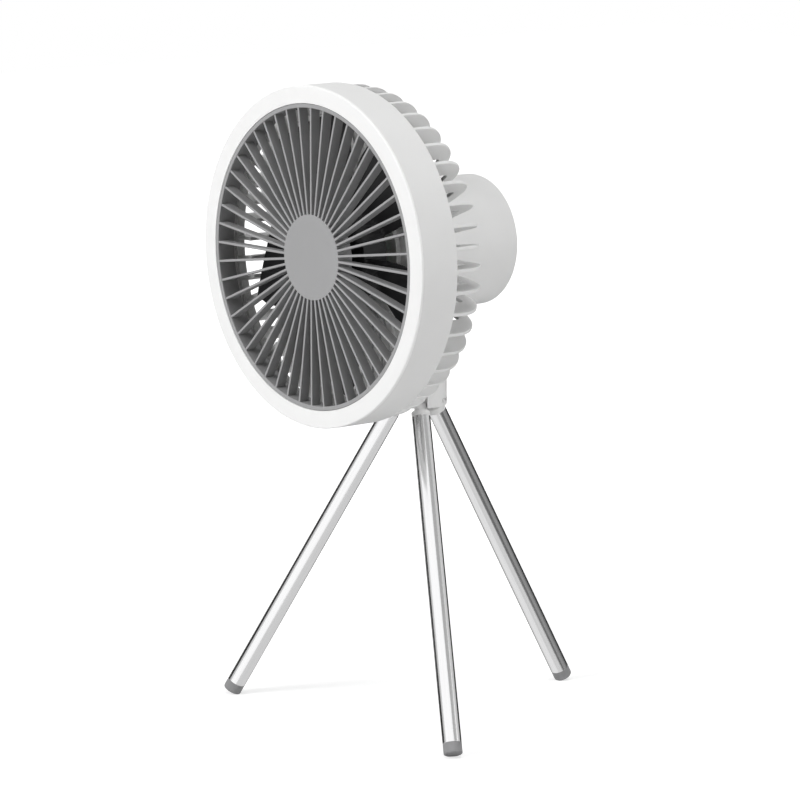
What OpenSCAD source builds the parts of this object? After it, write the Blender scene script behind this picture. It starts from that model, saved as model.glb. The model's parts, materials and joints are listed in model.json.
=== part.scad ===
// Portable camping fan: a round fan head with a light ring, standing on a folding tripod.
// Millimetres, +Z up, the head blows towards -Y. The origin is on the ground, at the
// centre of the rectangle that the fan covers.

/* [Head] */
// Outer diameter of the head, across the light ring
head_d = 180; // [160:1:220]
// Depth of the white band, from the face of the light ring to its rear edge
band_depth = 24.3; // [23:0.1:30]
// Wall of the white band
band_wall = 1.8; // [1.4:0.1:2.4]
// Radial width of the light ring
ring_w = 9.4; // [8:0.1:14]
// Thickness of the light ring
ring_t = 1.6; // [1.2:0.1:2.4]
// Bevel on the outer edge of the light ring
ring_bevel = 0.7; // [0.3:0.1:1.1]
// Wall of the light tray
tray_wall = 1.6; // [1.2:0.1:2]

/* [Light board] */
// Number of light-emitting diodes
led_count = 36; // [24:1:48]
// Length of one diode along the ring
led_l = 3.5; // [2.5:0.1:5]
// Width of one diode
led_w = 2.8; // [2:0.1:3]
// Height of one diode
led_t = 0.8; // [0.5:0.1:1.2]
// Thickness of every circuit board
board_t = 1.6; // [1:0.1:2]

/* [Front grille] */
// Number of straight vanes
vane_count = 48; // [36:1:60]
// Thickness of a vane at its front edge
vane_t = 1.3; // [1:0.05:1.8]
// Thickness of a vane at its rear edge
vane_rear_t = 0.9; // [0.7:0.05:1.3]
// Depth of a vane, front to rear
vane_depth = 6; // [4:0.1:9]
// Setback of the vanes behind the face of the light ring
vane_set = 0.5; // [0.2:0.1:1.5]
// Radial width of the grille's rim
rim_w = 2.1; // [1.6:0.1:3]
// Depth of the grille's skirt, which is also the depth of the light tray
skirt_depth = 11; // [9.8:0.1:14]
// Diameter of the disc in the middle
disc_d = 45; // [38:1:54]
// Thickness of the disc
disc_t = 1.8; // [1.2:0.1:2.6]
// Depth of the collar behind the disc
disc_collar = 10; // [8:0.1:12]

/* [Rear guard] */
// Number of fins
fin_count = 48; // [36:1:60]
// Thickness of a fin
fin_t = 1.9; // [1.4:0.1:2.4]
// Distance from the outside of the head in to the edges of the fins
fin_set_in = 1.2; // [0.6:0.1:1.8]
// Radial depth of a fin beside the impeller
fin_side = 12.8; // [8:0.1:16]
// Depth of a fin behind the impeller
fin_rear = 7.5; // [5:0.1:10]
// Radius of the rounded rear corner of a fin
fin_corner = 16.8; // [10:0.1:20]
// Wall of the rim that plugs into the band
guard_wall = 1.2; // [1:0.1:1.6]
// Length of that rim
guard_plug = 4.4; // [3:0.1:6]
// Wall of the seat that carries the motor
seat_wall = 3; // [2.4:0.1:4]
// Depth of the seat's wall, between the motor and the pod
seat_depth = 6.5; // [5:0.1:10]

/* [Impeller] */
// Number of blades
blade_count = 5; // [3:1:7]
// Depth of the blades at their tips
blade_depth = 17.5; // [14:0.1:20]
// Depth of the blades at the hub
blade_root_depth = 13.6; // [8:0.1:14]
// Thickness of a blade
blade_t = 1.8; // [1.2:0.1:2.4]
// Angle that a blade spans at its root
root_span = 47; // [36:1:56]
// Angle that a blade spans at its tip
tip_span = 33.5; // [20:0.5:36]
// Distance from the grille's skirt back to the blades
blade_front_gap = 7.5; // [4:0.1:10]
// Gap between the blade tips and the fins
tip_gap = 1; // [0.6:0.1:2]
// Gap between the blades and the fins behind them
rear_gap = 6.5; // [4:0.1:9]
// Diameter of the impeller's hub
fan_hub_d = 47.8; // [44:0.1:52]
// Length of the impeller's hub
fan_hub_l = 15.5; // [14.6:0.1:18]
// Wall of the impeller's hub
fan_hub_wall = 1.7; // [1.2:0.1:2.2]

/* [Motor] */
// Diameter of the motor's shaft
shaft_d = 3; // [2:0.1:3.4]
// Outer diameter of a ball bearing
bearing_d = 8; // [7:0.1:9]
// Width of a ball bearing
bearing_w = 3; // [2:0.1:4]
// Wall of the bearing tube
tube_wall = 1.3; // [1:0.1:1.6]
// Outer diameter of the rotor can
can_d = 37.2; // [34:0.1:40]
// Wall of the rotor can
can_wall = 1.1; // [0.8:0.1:1.4]
// Length of the rotor can
can_l = 12.5; // [11:0.1:12.8]
// Thickness of the magnet ring
magnet_t = 2.1; // [1.5:0.1:2.6]
// Air gap between the magnets and the stator
air_gap = 0.5; // [0.35:0.05:1]
// Number of stator teeth
tooth_count = 9; // [6:3:12]
// Length of the stator's stack
stack_l = 8; // [6:0.1:9]
// Diameter of the motor's base
base_d = 44; // [40:0.5:50]
// Thickness of the motor's base
base_t = 3; // [2:0.1:4]

/* [Pod] */
// Diameter of the battery pod
pod_d = 70.2; // [64:0.1:80]
// Length of the battery pod
pod_l = 64.4; // [62:0.1:80]
// Wall of the battery pod
pod_wall = 2.2; // [1.8:0.1:3]
// Radius of the pod's rear edge
pod_edge = 1.6; // [0.8:0.1:2]
// Depth of the rear cover below the pod's rear edge
cover_recess = 0.6; // [0.4:0.1:1.2]
// Thickness of the rear cover
cover_t = 2.2; // [1.6:0.1:3]
// Diameter of a battery cell
cell_d = 18; // [16:0.1:18.6]
// Length of a battery cell
cell_l = 50; // [44:0.1:50]
// Diameter of a button
button_d = 8.8; // [7:0.1:10]
// Distance that a button stands out of the rear cover
button_proud = 0.8; // [0.7:0.1:1.4]
// Travel of a button
button_travel = 0.6; // [0.4:0.05:0.7]
// Distance from the middle to a button
button_off = 11; // [8:0.5:14]
// Distance from the middle up to the battery indicator
lens_up = 13; // [9:0.5:16]
// Distance from the middle down to the charging socket
socket_down = 15; // [12:0.5:18]

/* [Tilt hinge] */
// Distance from the rear of the guard back to the tilt axis
tilt_back = 22.75; // [20:0.25:28]
// Distance from the underside of the pod down to the tilt axis
tilt_drop = 18.5; // [17:0.1:24]
// Height of the tilt axis above the tripod's hub
tilt_rise = 14; // [12:0.1:18]
// Diameter of the tilt pin
tilt_pin_d = 5; // [4:0.1:6]
// Width of the hub's tongue
tongue_w = 12; // [10:0.1:14]
// Thickness of each ear of the pod
ear_w = 4; // [3:0.1:6]
// Radius of the ears and the tongue around the tilt pin
ear_r = 8; // [7:0.1:9]
// Thickness of a friction washer
washer_t = 0.8; // [0.5:0.1:1.2]

/* [Tripod] */
// Diameter of the tripod's hub
hub_d = 32.8; // [31:0.1:36]
// Height of the tripod's hub
hub_h = 17.9; // [14:0.1:24]
// Length of a leg, from its pin to the end of its foot
leg_len = 195.4; // [150:0.1:260]
// Angle between an open leg and the vertical
splay = 30; // [20:0.5:32]
// Outer diameter of a leg tube
leg_d = 10; // [9:0.1:11]
// Wall of a leg tube
leg_wall = 0.8; // [0.5:0.05:1.2]
// Radius from the tripod's axis to the leg pins
pin_r = 9.86; // [9.4:0.02:10.4]
// Diameter of a leg pin
pin_d = 2.5; // [2:0.1:3]
// Width of a leg's tongue
lug_w = 5.6; // [5:0.1:6]
// Distance from a leg's pin to its collar
collar_at = 6.2; // [6:0.1:8]
// Thickness of the collar
collar_t = 3.1; // [2:0.1:5]
// Length of a foot cap that shows
foot_l = 5.8; // [4:0.1:12]
// Radius of a foot cap's edge
foot_edge = 0.8; // [0.4:0.1:1.2]

/* [Hidden] */
$fn = 96;

// Fits between the pieces
snap_gap = 0.2;      // between mouldings that clip together
screw_gap = 0.15;    // round a screw in a plain hole
slip = 0.05;         // round a plug in its tube
press = 0.01;        // round a shaft or pin that is held tight
run_gap = 0.04;      // round a shaft or pin that turns
side_gap = 0.4;      // beside a leg's tongue in its slot
joint_gap = 0.3;     // between pieces of two bodies at a stop
washer_gap = 0.1;    // between a friction washer and its ear
over = 1;            // how far a cut runs past a face

// Radii of the head, from the outside in
head_r = head_d / 2;
band_in_r = head_r - band_wall;
ring_in_r = head_r - ring_w;
rim_out_r = ring_in_r - snap_gap;
rim_in_r = rim_out_r - rim_w;
fin_out_r = head_r - fin_set_in;
fin_in_r = fin_out_r - fin_side;
blade_r = fin_in_r - tip_gap;
plug_out_r = band_in_r - snap_gap / 2;
plug_in_r = plug_out_r - guard_wall;

// Depths behind the face of the light ring, from front to rear
tray_floor = skirt_depth - tray_wall;
board_front = tray_floor - board_t;
blade_front = skirt_depth + blade_front_gap;
blade_rear = blade_front + blade_depth;
guard_in = blade_rear + rear_gap;
guard_rear = guard_in + fin_rear;
seat_front = guard_rear - seat_depth;
pod_end = guard_rear + pod_l;
cover_rear = pod_end - cover_recess;
cover_front = cover_rear - cover_t;
floor_rear = guard_rear + pod_wall;
tilt_depth = guard_rear + tilt_back;

// Motor, from the rear forwards
base_front = seat_front - base_t;
hub_lead = 1.5;                          // how far the hub stands in front of the blades
fan_hub_front = blade_front - hub_lead;
can_set = 1.4;                           // from the hub's front wall back to the rotor can
can_front = fan_hub_front + fan_hub_wall + can_set;
can_rear = can_front + can_l;
can_r = can_d / 2;
magnet_out_r = can_r - can_wall;
magnet_in_r = magnet_out_r - magnet_t;
stator_r = magnet_in_r - air_gap;
shaft_r = shaft_d / 2;
bearing_r = bearing_d / 2;
tube_out_r = bearing_r + tube_wall;
stack_set = 2.2;                         // from the can's wall back to the stator
stack_front = can_front + can_wall + stack_set;
coil_over = 1.4;                         // how far the coils stand out of the stack
coil_t = 0.9;
tooth_w = 2.4;
shoe_t = 1.2;
yoke_r = tube_out_r + 2.6;
tube_set = 0.5;                          // from the can's wall back to the bearing tube
tube_front = can_front + can_wall + tube_set;
clip_room = 2;                           // behind the rear bearing, for the shaft's clip
rear_bearing_front = seat_front - bearing_w - clip_room;
stand_h = 1.2;                           // from the motor's base to its board
motor_board_front = base_front - stand_h - board_t;
nut_t = 2.4;
shaft_over = 1;                          // how far the shaft stands out of its nut
shaft_front = fan_hub_front - nut_t - shaft_over;
bearing_shoulder = 0.4;

// Tripod, from the ground up
leg_r = leg_d / 2;
plug_r = leg_r - leg_wall - slip;
foot_flat = 0.5;                         // how much of a foot's edge is flat on the ground
foot_z = leg_r * sin(splay) - foot_flat;
pin_z = foot_z + leg_len * cos(splay);
hub_r = hub_d / 2;
stop_t = (hub_r - pin_r - collar_at * sin(splay)) / cos(splay);
hub_bottom = pin_z - collar_at * cos(splay) + stop_t * sin(splay) + joint_gap;
hub_top = hub_bottom + hub_h;
tilt_z = hub_top + tilt_rise;
pod_r = pod_d / 2;
head_z = tilt_z + tilt_drop + pod_r;
lug_r = lug_w / 2;
slot_w = lug_w + 2 * side_gap;
slot_roof = pin_z + lug_r + side_gap;
foot_reach = pin_r + (leg_len - foot_edge) * sin(splay)
    + (leg_r - foot_edge) * cos(splay) + foot_edge;
tripod_y = (tilt_depth - foot_reach) / 2;
face_y = tripod_y - tilt_depth;
leg_az = [-30, 90, 210];

// Screws: [radius of the head, height of the head, radius of the thread, length]
small_screw = [2.2, 1.2, 0.9, 8];
board_screw = [2, 1, 0.8, 5];

// Circle of the guard's screws and the angle of the first, midway between two fins
guard_screw_n = 4;
guard_screw_out = 0.3;                   // from the middle of the tray out to these screws
guard_screw_r = (ring_in_r + plug_in_r) / 2 + guard_screw_out;
guard_screw_a = 41.25;
guard_tab_t = 2;
guard_front = band_depth - guard_plug;
fin_step = 0.3;                          // step from a fin's ends to the rims that carry it
fin_inner_corner = 2;
fin_root_r = pod_r - seat_wall / 2;
tab_w = 7;
tab_clear = 0.6;                         // between a tab and the band's inner wall
boss_r = 2.6;
boss_floor = 1;                          // left under a blind screw hole

// Circles of the other screws
motor_screw_n = 3;
motor_screw_a = 30;
motor_screw_in = 4;                      // in from the edge of the motor's base
motor_screw_r = base_d / 2 - motor_screw_in;
motor_hole_floor = 0.8;
pod_screw_n = 4;
pod_screw_a = 45;
pod_screw_in = 5.4;                      // in from the inside of the pod
pod_screw_r = pod_r - pod_wall - pod_screw_in;
cover_screw_n = 3;
cover_screw_a = -90;
cover_boss_r = 3.2;
boss_bite = 0.4;                         // how far a boss is let into the wall beside it
cover_screw_r = pod_r - pod_wall - cover_boss_r + boss_bite;
cover_boss_l = 12;
screw_sink = 0.2;                        // from a screw's head to the rim of its recess

// Inside of the pod
cell_count = 3;
cell_a = -90;
holder_floor = 1;
holder_wall = 1.2;
holder_l = cell_l + 2 * holder_floor;
cell_apart = 0.4;                        // extra radius that parts the cells
cell_ring_r = cell_d / 2 / sin(180 / cell_count) + cell_apart;
holder_r = cell_ring_r + cell_d / 2 + holder_wall;
cell_gap = 0.15;
control_set = 3.6;                       // from the rear cover forwards to the control board
control_front = cover_front - control_set - board_t;
control_rear = control_front + board_t;
control_r = 23;
post_n = 3;
post_a = 30;
post_in = 3.4;                           // in from the edge of the board to a post
post_ring = control_r - post_in;
switch_l = 6;
switch_room = 1.9;                       // between a switch and the rear cover
switch_t = cover_front - control_rear - switch_room;
button_r = button_d / 2;
flange_t = 0.6;
flange_w = 1;
stem_r = 1.5;
button_gap = 0.2;
socket_w = 8.9;
socket_h = 3.2;
socket_wall = 0.35;
socket_gap = 0.2;
lens_l = 14;
lens_h = 2.6;
lens_lip = 0.8;
lens_rim = 1;
status_count = 4;
status_step = 3.4;
status_size = [1.6, 0.8, 0.6];
pin_head_r = 0.9 * tilt_pin_d;
pin_head_t = 2.4;
tilt_nut_t = 3.2;
ear_in = tongue_w / 2 + washer_t + washer_gap;
ear_out = ear_in + ear_w;
hub_edge = 1.2;

// Frames of reference

// The head's frame: z runs back from the face of the light ring, x to the right
module head_frame() { translate([0, face_y, head_z]) rotate([-90, 0, 0]) children(); }

// Copies turned about z of the frame they stand in
module around(n, start = 0) { for (k = [0:n - 1]) rotate([0, 0, start + 360 * k / n]) children(); }

// One leg's frame: the pin is at the origin along y, the leg runs down -z
module leg_frame(k) {
    translate([0, tripod_y, pin_z]) rotate([0, 0, leg_az[k]])
        translate([pin_r, 0, 0]) rotate([0, -splay, 0]) children();
}

// Small shapes

module ring(r_out, r_in, z0, z1) {
    translate([0, 0, z0]) difference() {
        cylinder(r = r_out, h = z1 - z0);
        translate([0, 0, -over]) cylinder(r = r_in, h = z1 - z0 + 2 * over);
    }
}

module slot_2d(l, h) {
    square([l - h, h], center = true);
    for (s = [-1, 1]) translate([s * (l - h) / 2, 0]) circle(d = h, $fn = 48);
}

// A pan-head screw with a cross recess: its head starts at z = 0, its thread runs down -z
module pan_screw(s) {
    cross_w = 0.5;
    cross_l = 1.2 * s[0];
    difference() {
        union() {
            cylinder(r = s[0], h = s[1], $fn = 32);
            translate([0, 0, -s[3]]) cylinder(r = s[2], h = s[3], $fn = 32);
        }
        for (a = [0, 90]) rotate([0, 0, a])
            translate([-cross_l / 2, -cross_w / 2, s[1] * 0.4]) cube([cross_l, cross_w, s[1]]);
    }
}

// Head

module light_ring() {
    lip_d = 1.9;
    lip_w = tray_wall / 2;
    inner_bevel = 0.2;
    let_in = 0.1;
    color([0.98, 0.98, 0.97]) head_frame() rotate_extrude() {
        polygon([[ring_in_r, inner_bevel], [ring_in_r + inner_bevel, 0], [head_r - ring_bevel, 0],
            [head_r, ring_bevel], [head_r, ring_t], [ring_in_r, ring_t]]);
        for (r = [ring_in_r + tray_wall + snap_gap, band_in_r - snap_gap - lip_w])
            translate([r, ring_t - let_in]) square([lip_w, lip_d + let_in]);
    }
}

module head_band() {
    color([0.93, 0.93, 0.93]) head_frame() difference() {
        union() {
            ring(head_r, band_in_r, ring_t, band_depth);
            ring(band_in_r + over, ring_in_r, tray_floor, skirt_depth);
            ring(ring_in_r + tray_wall, ring_in_r, ring_t, skirt_depth);
            around(guard_screw_n, guard_screw_a) translate([guard_screw_r, 0, tray_floor])
                cylinder(r = boss_r, h = guard_front - snap_gap / 2 - tray_floor, $fn = 48);
        }
        around(guard_screw_n, guard_screw_a) translate([guard_screw_r, 0, tray_floor + tray_wall])
            cylinder(r = small_screw[2] + slip, h = band_depth, $fn = 32);
    }
}

module led_board() {
    color([0.9, 0.92, 0.9]) head_frame()
        ring(band_in_r - snap_gap, ring_in_r + tray_wall + snap_gap, board_front, tray_floor);
}

module leds() {
    mid_r = (ring_in_r + tray_wall + band_in_r) / 2;
    color([0.98, 0.95, 0.7]) head_frame() around(led_count)
        translate([mid_r - led_w / 2, -led_l / 2, board_front - led_t]) cube([led_w, led_l, led_t]);
}

// The grille's vanes: straight plates, drafted from front to rear
module vane() {
    cut = 0.25;                          // bevel on the front edges
    f = vane_t / 2;
    b = vane_rear_t / 2;
    translate([disc_d / 2 - over, 0, 0]) rotate([90, 0, 90])
        linear_extrude(height = rim_in_r - disc_d / 2 + over + rim_w / 2)
            polygon([[-f + cut, vane_set], [f - cut, vane_set], [f, vane_set + cut],
                [b, vane_set + vane_depth], [-b, vane_set + vane_depth], [-f, vane_set + cut]]);
}

module front_grille() {
    rim_set = 0.2;                       // setback of the rim behind the ring's face
    color([0.55, 0.55, 0.55]) head_frame() {
        ring(rim_out_r, rim_in_r, rim_set, skirt_depth);
        around(vane_count) vane();
        translate([0, 0, vane_set]) cylinder(d = disc_d, h = disc_t);
        ring(disc_d / 2, disc_d / 2 - disc_t, vane_set, disc_collar);
    }
}

// Outline of one fin in the plane through the head's axis: x is the radius, y the depth
module fin_2d() {
    fin_front = guard_front + fin_step;
    rear = guard_rear - fin_step;
    corner = fin_inner_corner;
    difference() {
        union() {
            translate([fin_root_r, guard_in - over])
                square([fin_out_r - fin_corner - fin_root_r, rear - guard_in + over]);
            translate([fin_out_r - fin_corner, fin_front])
                square([fin_corner, rear - fin_corner - fin_front]);
            translate([fin_out_r - fin_corner, rear - fin_corner]) circle(r = fin_corner);
        }
        square([fin_in_r - corner, guard_in]);
        square([fin_in_r, guard_in - corner]);
        translate([fin_in_r - corner, guard_in - corner]) circle(r = corner, $fn = 48);
        translate([(plug_in_r + plug_out_r) / 2, 0]) square([head_r, band_depth + snap_gap / 2]);
    }
}

module rear_guard() {
    color([0.93, 0.93, 0.93]) head_frame() difference() {
        union() {
            ring(plug_out_r, plug_in_r, guard_front, band_depth + 3 * snap_gap);
            around(fin_count) rotate([90, 0, 0])
                translate([0, 0, -fin_t / 2]) linear_extrude(height = fin_t) fin_2d();
            ring(pod_r + seat_wall / 2, pod_r - seat_wall, seat_front, guard_rear);
            translate([0, 0, seat_front]) cylinder(r = pod_r, h = seat_wall);
            around(pod_screw_n, pod_screw_a) translate([pod_screw_r, 0, seat_front])
                cylinder(r = boss_r, h = seat_depth, $fn = 48);
            around(guard_screw_n, guard_screw_a)
                translate([ring_in_r + tab_clear, -tab_w / 2, guard_front])
                    cube([plug_in_r - ring_in_r, tab_w, guard_tab_t]);
        }
        translate([0, 0, seat_front - over])
            cylinder(r = tube_out_r + joint_gap, h = seat_depth, $fn = 48);
        around(motor_screw_n, motor_screw_a) translate([motor_screw_r, 0, seat_front - over])
            cylinder(r = small_screw[2] + screw_gap, h = seat_depth, $fn = 32);
        around(pod_screw_n, pod_screw_a) translate([pod_screw_r, 0, seat_front + boss_floor])
            cylinder(r = board_screw[2] + slip, h = seat_depth, $fn = 32);
        around(guard_screw_n, guard_screw_a) translate([guard_screw_r, 0, 0])
            cylinder(r = small_screw[2] + screw_gap, h = band_depth + over, $fn = 32);
    }
}

module guard_screws() {
    color([0.75, 0.76, 0.78]) head_frame() around(guard_screw_n, guard_screw_a)
        translate([guard_screw_r, 0, guard_front + guard_tab_t]) pan_screw(small_screw);
}

// Impeller

// A blade runs from its front edge (u = 0) to its rear edge (u = 1), and from the hub
// (v = 0) to the tip (v = 1). Angles are anticlockwise as seen from the front.
blade_a = 73;                          // angle of the first blade's front edge at its root
chord_steps = 14;
span_steps = 9;
root_in = 1;                           // how far a blade's root is let into the hub
edge_t = 0.35;                         // share of the thickness that is left at both edges
function blend(a, b, v) = a + (b - a) * v;
function span_r(v) = blend(fan_hub_d / 2 - root_in, blade_r, v);
// The front edge sweeps back towards the tip, the rear edge runs straight out
function front_a(v) = blade_a - (root_span - tip_span) * pow(v, 4);
rear_a = blade_a - root_span;
function chord_depth(v) = blend(blade_root_depth, blade_depth, pow(v, 0.8));
function camber(u) = 1 - pow(1 - u, 1.6);
function half_t(u) = blade_t / 2 * (edge_t + (1 - edge_t) * sqrt(max(0, sin(180 * u))));
function blade_angle(u, v) = blend(front_a(v), rear_a, u);
function blade_z(u, v) = blade_front + blade_t / 2 + (chord_depth(v) - blade_t) * camber(u);
function blade_point(u, v, side) =
    let (a = -blade_angle(u, v), r = span_r(v), z = blade_z(u, v) + side * half_t(u))
    [r * cos(a), r * sin(a), z];

module blade() {
    row = chord_steps + 1;
    sheet = row * (span_steps + 1);
    points = [for (side = [-1, 1]) for (j = [0:span_steps]) for (i = [0:chord_steps])
        blade_point(i / chord_steps, j / span_steps, side)];
    // Index of a point, and the two triangles of a quadrilateral
    function at(side, i, j) = side * sheet + j * row + i;
    function quad(a, b, c, d) = [[a, b, c], [a, c, d]];
    faces = [
        for (j = [0:span_steps - 1]) for (i = [0:chord_steps - 1]) each
            quad(at(0, i, j + 1), at(0, i + 1, j + 1), at(0, i + 1, j), at(0, i, j)),
        for (j = [0:span_steps - 1]) for (i = [0:chord_steps - 1]) each
            quad(at(1, i, j), at(1, i + 1, j), at(1, i + 1, j + 1), at(1, i, j + 1)),
        for (i = [0:chord_steps - 1]) each
            quad(at(0, i, 0), at(0, i + 1, 0), at(1, i + 1, 0), at(1, i, 0)),
        for (i = [0:chord_steps - 1]) each
            quad(at(1, i, span_steps), at(1, i + 1, span_steps),
                at(0, i + 1, span_steps), at(0, i, span_steps)),
        for (j = [0:span_steps - 1]) each
            quad(at(1, 0, j), at(1, 0, j + 1), at(0, 0, j + 1), at(0, 0, j)),
        for (j = [0:span_steps - 1]) each
            quad(at(0, chord_steps, j), at(0, chord_steps, j + 1),
                at(1, chord_steps, j + 1), at(1, chord_steps, j))
    ];
    polyhedron(points, faces);
}

module impeller() {
    rib_t = 1.2;
    rib_count = 6;
    rib_a = 30;
    boss_wall = 2.2;
    color([0.1, 0.1, 0.11]) head_frame() difference() {
        union() {
            translate([0, 0, fan_hub_front]) difference() {
                cylinder(d = fan_hub_d, h = fan_hub_l);
                translate([0, 0, fan_hub_wall])
                    cylinder(r = fan_hub_d / 2 - fan_hub_wall, h = fan_hub_l);
            }
            translate([0, 0, fan_hub_front])
                cylinder(r = shaft_r + boss_wall, h = can_front - fan_hub_front, $fn = 48);
            around(rib_count, rib_a)
                translate([can_r + snap_gap / 2, -rib_t / 2, fan_hub_front + fan_hub_wall / 2])
                    cube([fan_hub_d / 2 - can_r - fan_hub_wall / 2, rib_t, can_l]);
            around(blade_count) blade();
        }
        cylinder(r = shaft_r + press, h = guard_rear, $fn = 48);
    }
}

module impeller_nut() {
    nut_r = 3.2;
    color([0.7, 0.7, 0.72]) head_frame() translate([0, 0, fan_hub_front - nut_t]) difference() {
        cylinder(r = nut_r, h = nut_t, $fn = 6);
        translate([0, 0, -over]) cylinder(r = shaft_r + press, h = nut_t + 2 * over, $fn = 48);
    }
}

// Motor

module motor_shaft() {
    color([0.8, 0.8, 0.82]) head_frame() translate([0, 0, shaft_front])
        cylinder(r = shaft_r, h = seat_front - shaft_front, $fn = 48);
}

module rotor_can() {
    color([0.62, 0.63, 0.65]) head_frame() difference() {
        union() {
            ring(can_r, magnet_out_r, can_front, can_rear);
            translate([0, 0, can_front]) cylinder(r = can_r, h = can_wall);
        }
        cylinder(r = shaft_r + press, h = guard_rear, $fn = 48);
    }
}

module rotor_magnets() {
    front_set = 0.6;
    rear_set = 0.4;
    color([0.25, 0.25, 0.27]) head_frame()
        ring(magnet_out_r, magnet_in_r, can_front + can_wall + front_set, can_rear - rear_set);
}

module stator_core() {
    slot_a = 9;                          // angle of the gap between two shoes
    shoe_a = 360 / tooth_count - slot_a;
    let_in = 0.4;
    color([0.5, 0.51, 0.53]) head_frame() translate([0, 0, stack_front]) {
        ring(yoke_r, tube_out_r + 2 * press, 0, stack_l);
        around(tooth_count) translate([yoke_r - let_in, -tooth_w / 2, 0])
            cube([stator_r - shoe_t / 2 - yoke_r + let_in, tooth_w, stack_l]);
        around(tooth_count, -shoe_a / 2) rotate_extrude(angle = shoe_a)
            translate([stator_r - shoe_t, 0]) square([shoe_t, stack_l]);
    }
}

module stator_coils() {
    inset = 0.3;
    play = 2 * press;
    coil_l = stator_r - shoe_t - yoke_r - 2 * inset;
    color([0.72, 0.42, 0.2]) head_frame() translate([0, 0, stack_front - coil_over])
        around(tooth_count) difference() {
            translate([yoke_r + inset, -tooth_w / 2 - coil_t, 0])
                cube([coil_l, tooth_w + 2 * coil_t, stack_l + 2 * coil_over]);
            translate([yoke_r, -tooth_w / 2 - play, coil_over - play])
                cube([coil_l + over, tooth_w + 2 * play, stack_l + 2 * play]);
        }
}

module bearing_tube() {
    color([0.78, 0.66, 0.36]) head_frame() difference() {
        translate([0, 0, tube_front]) cylinder(r = tube_out_r, h = seat_front - tube_front, $fn = 64);
        translate([0, 0, tube_front - over]) cylinder(r = bearing_r - bearing_shoulder,
            h = seat_front - tube_front + 2 * over, $fn = 64);
        translate([0, 0, tube_front - over]) cylinder(r = bearing_r + press,
            h = bearing_w + over, $fn = 64);
        translate([0, 0, rear_bearing_front]) cylinder(r = bearing_r + press,
            h = bearing_w + clip_room + over, $fn = 64);
    }
}

module bearing(z0) {
    color([0.82, 0.83, 0.85]) head_frame() ring(bearing_r, shaft_r + run_gap, z0, z0 + bearing_w);
}
module front_bearing() { bearing(tube_front); }
module rear_bearing() { bearing(rear_bearing_front); }

module shaft_clip() {
    clip_w = 1.3;
    clip_t = 0.7;
    clip_front = seat_front - 1.6;
    color([0.3, 0.3, 0.32]) head_frame()
        ring(shaft_r + clip_w, shaft_r, clip_front, clip_front + clip_t);
}

module motor_base() {
    stand_r = 2;
    stand_off = tube_out_r + 6;
    stand_a = 90;
    color([0.88, 0.88, 0.88]) head_frame() difference() {
        union() {
            translate([0, 0, base_front]) cylinder(d = base_d, h = base_t);
            translate([0, 0, base_front - stand_h])
                cylinder(r = tube_out_r + stand_r, h = base_t, $fn = 64);
            around(motor_screw_n, stand_a) translate([stand_off, 0, base_front - stand_h])
                cylinder(r = stand_r, h = base_t, $fn = 32);
        }
        cylinder(r = tube_out_r + 2 * press, h = guard_rear, $fn = 64);
        around(motor_screw_n, motor_screw_a) translate([motor_screw_r, 0, base_front + motor_hole_floor])
            cylinder(r = small_screw[2] + slip, h = base_t, $fn = 32);
    }
}

module motor_board() {
    edge_in = 1.2;
    bore_gap = 0.4;
    color([0.1, 0.4, 0.22]) head_frame() ring(magnet_in_r - edge_in, tube_out_r + bore_gap,
        motor_board_front, motor_board_front + board_t);
}

module motor_screws() {
    end_gap = 0.2;
    screw = [small_screw[0], small_screw[1], small_screw[2],
        seat_wall + base_t - motor_hole_floor - end_gap];
    color([0.75, 0.76, 0.78]) head_frame() around(motor_screw_n, motor_screw_a)
        translate([motor_screw_r, 0, seat_front + seat_wall]) pan_screw(screw);
}

// Pod

module ear(x0, w) {
    translate([x0, tripod_y, 0]) {
        translate([0, 0, tilt_z]) rotate([0, 90, 0]) cylinder(r = ear_r, h = w, $fn = 64);
        translate([0, -ear_r, tilt_z]) cube([w, 2 * ear_r, head_z - tilt_z - pod_r + pod_wall * 2]);
    }
}

module pod_shell() {
    wire_r = 4;
    color([0.93, 0.93, 0.93]) difference() {
        union() {
            head_frame() rotate_extrude() {
                translate([0, guard_rear]) square([pod_r, pod_l - pod_edge]);
                translate([0, guard_rear]) square([pod_r - pod_edge, pod_l]);
                translate([pod_r - pod_edge, pod_end - pod_edge]) circle(r = pod_edge, $fn = 48);
            }
            ear(ear_in, ear_w);
            ear(-ear_out, ear_w);
        }
        head_frame() difference() {
            translate([0, 0, floor_rear]) cylinder(r = pod_r - pod_wall, h = pod_l);
            around(cover_screw_n, cover_screw_a)
                translate([cover_screw_r, 0, cover_front - cover_boss_l])
                    cylinder(r = cover_boss_r, h = cover_boss_l, $fn = 48);
        }
        head_frame() {
            around(cover_screw_n, cover_screw_a) translate([cover_screw_r, 0, cover_front - cover_boss_l])
                cylinder(r = board_screw[2] + slip, h = pod_l, $fn = 32);
            around(pod_screw_n, pod_screw_a) translate([pod_screw_r, 0, guard_rear - over])
                cylinder(r = board_screw[2] + screw_gap, h = pod_wall + 2 * over, $fn = 32);
            translate([0, 0, guard_rear - over]) cylinder(r = wire_r, h = pod_wall + 2 * over, $fn = 48);
        }
        translate([-pod_r, tripod_y, tilt_z]) rotate([0, 90, 0])
            cylinder(r = tilt_pin_d / 2 + run_gap, h = pod_d, $fn = 64);
    }
}

module pod_screws() {
    color([0.75, 0.76, 0.78]) head_frame() around(pod_screw_n, pod_screw_a)
        translate([pod_screw_r, 0, floor_rear]) pan_screw(board_screw);
}

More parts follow.
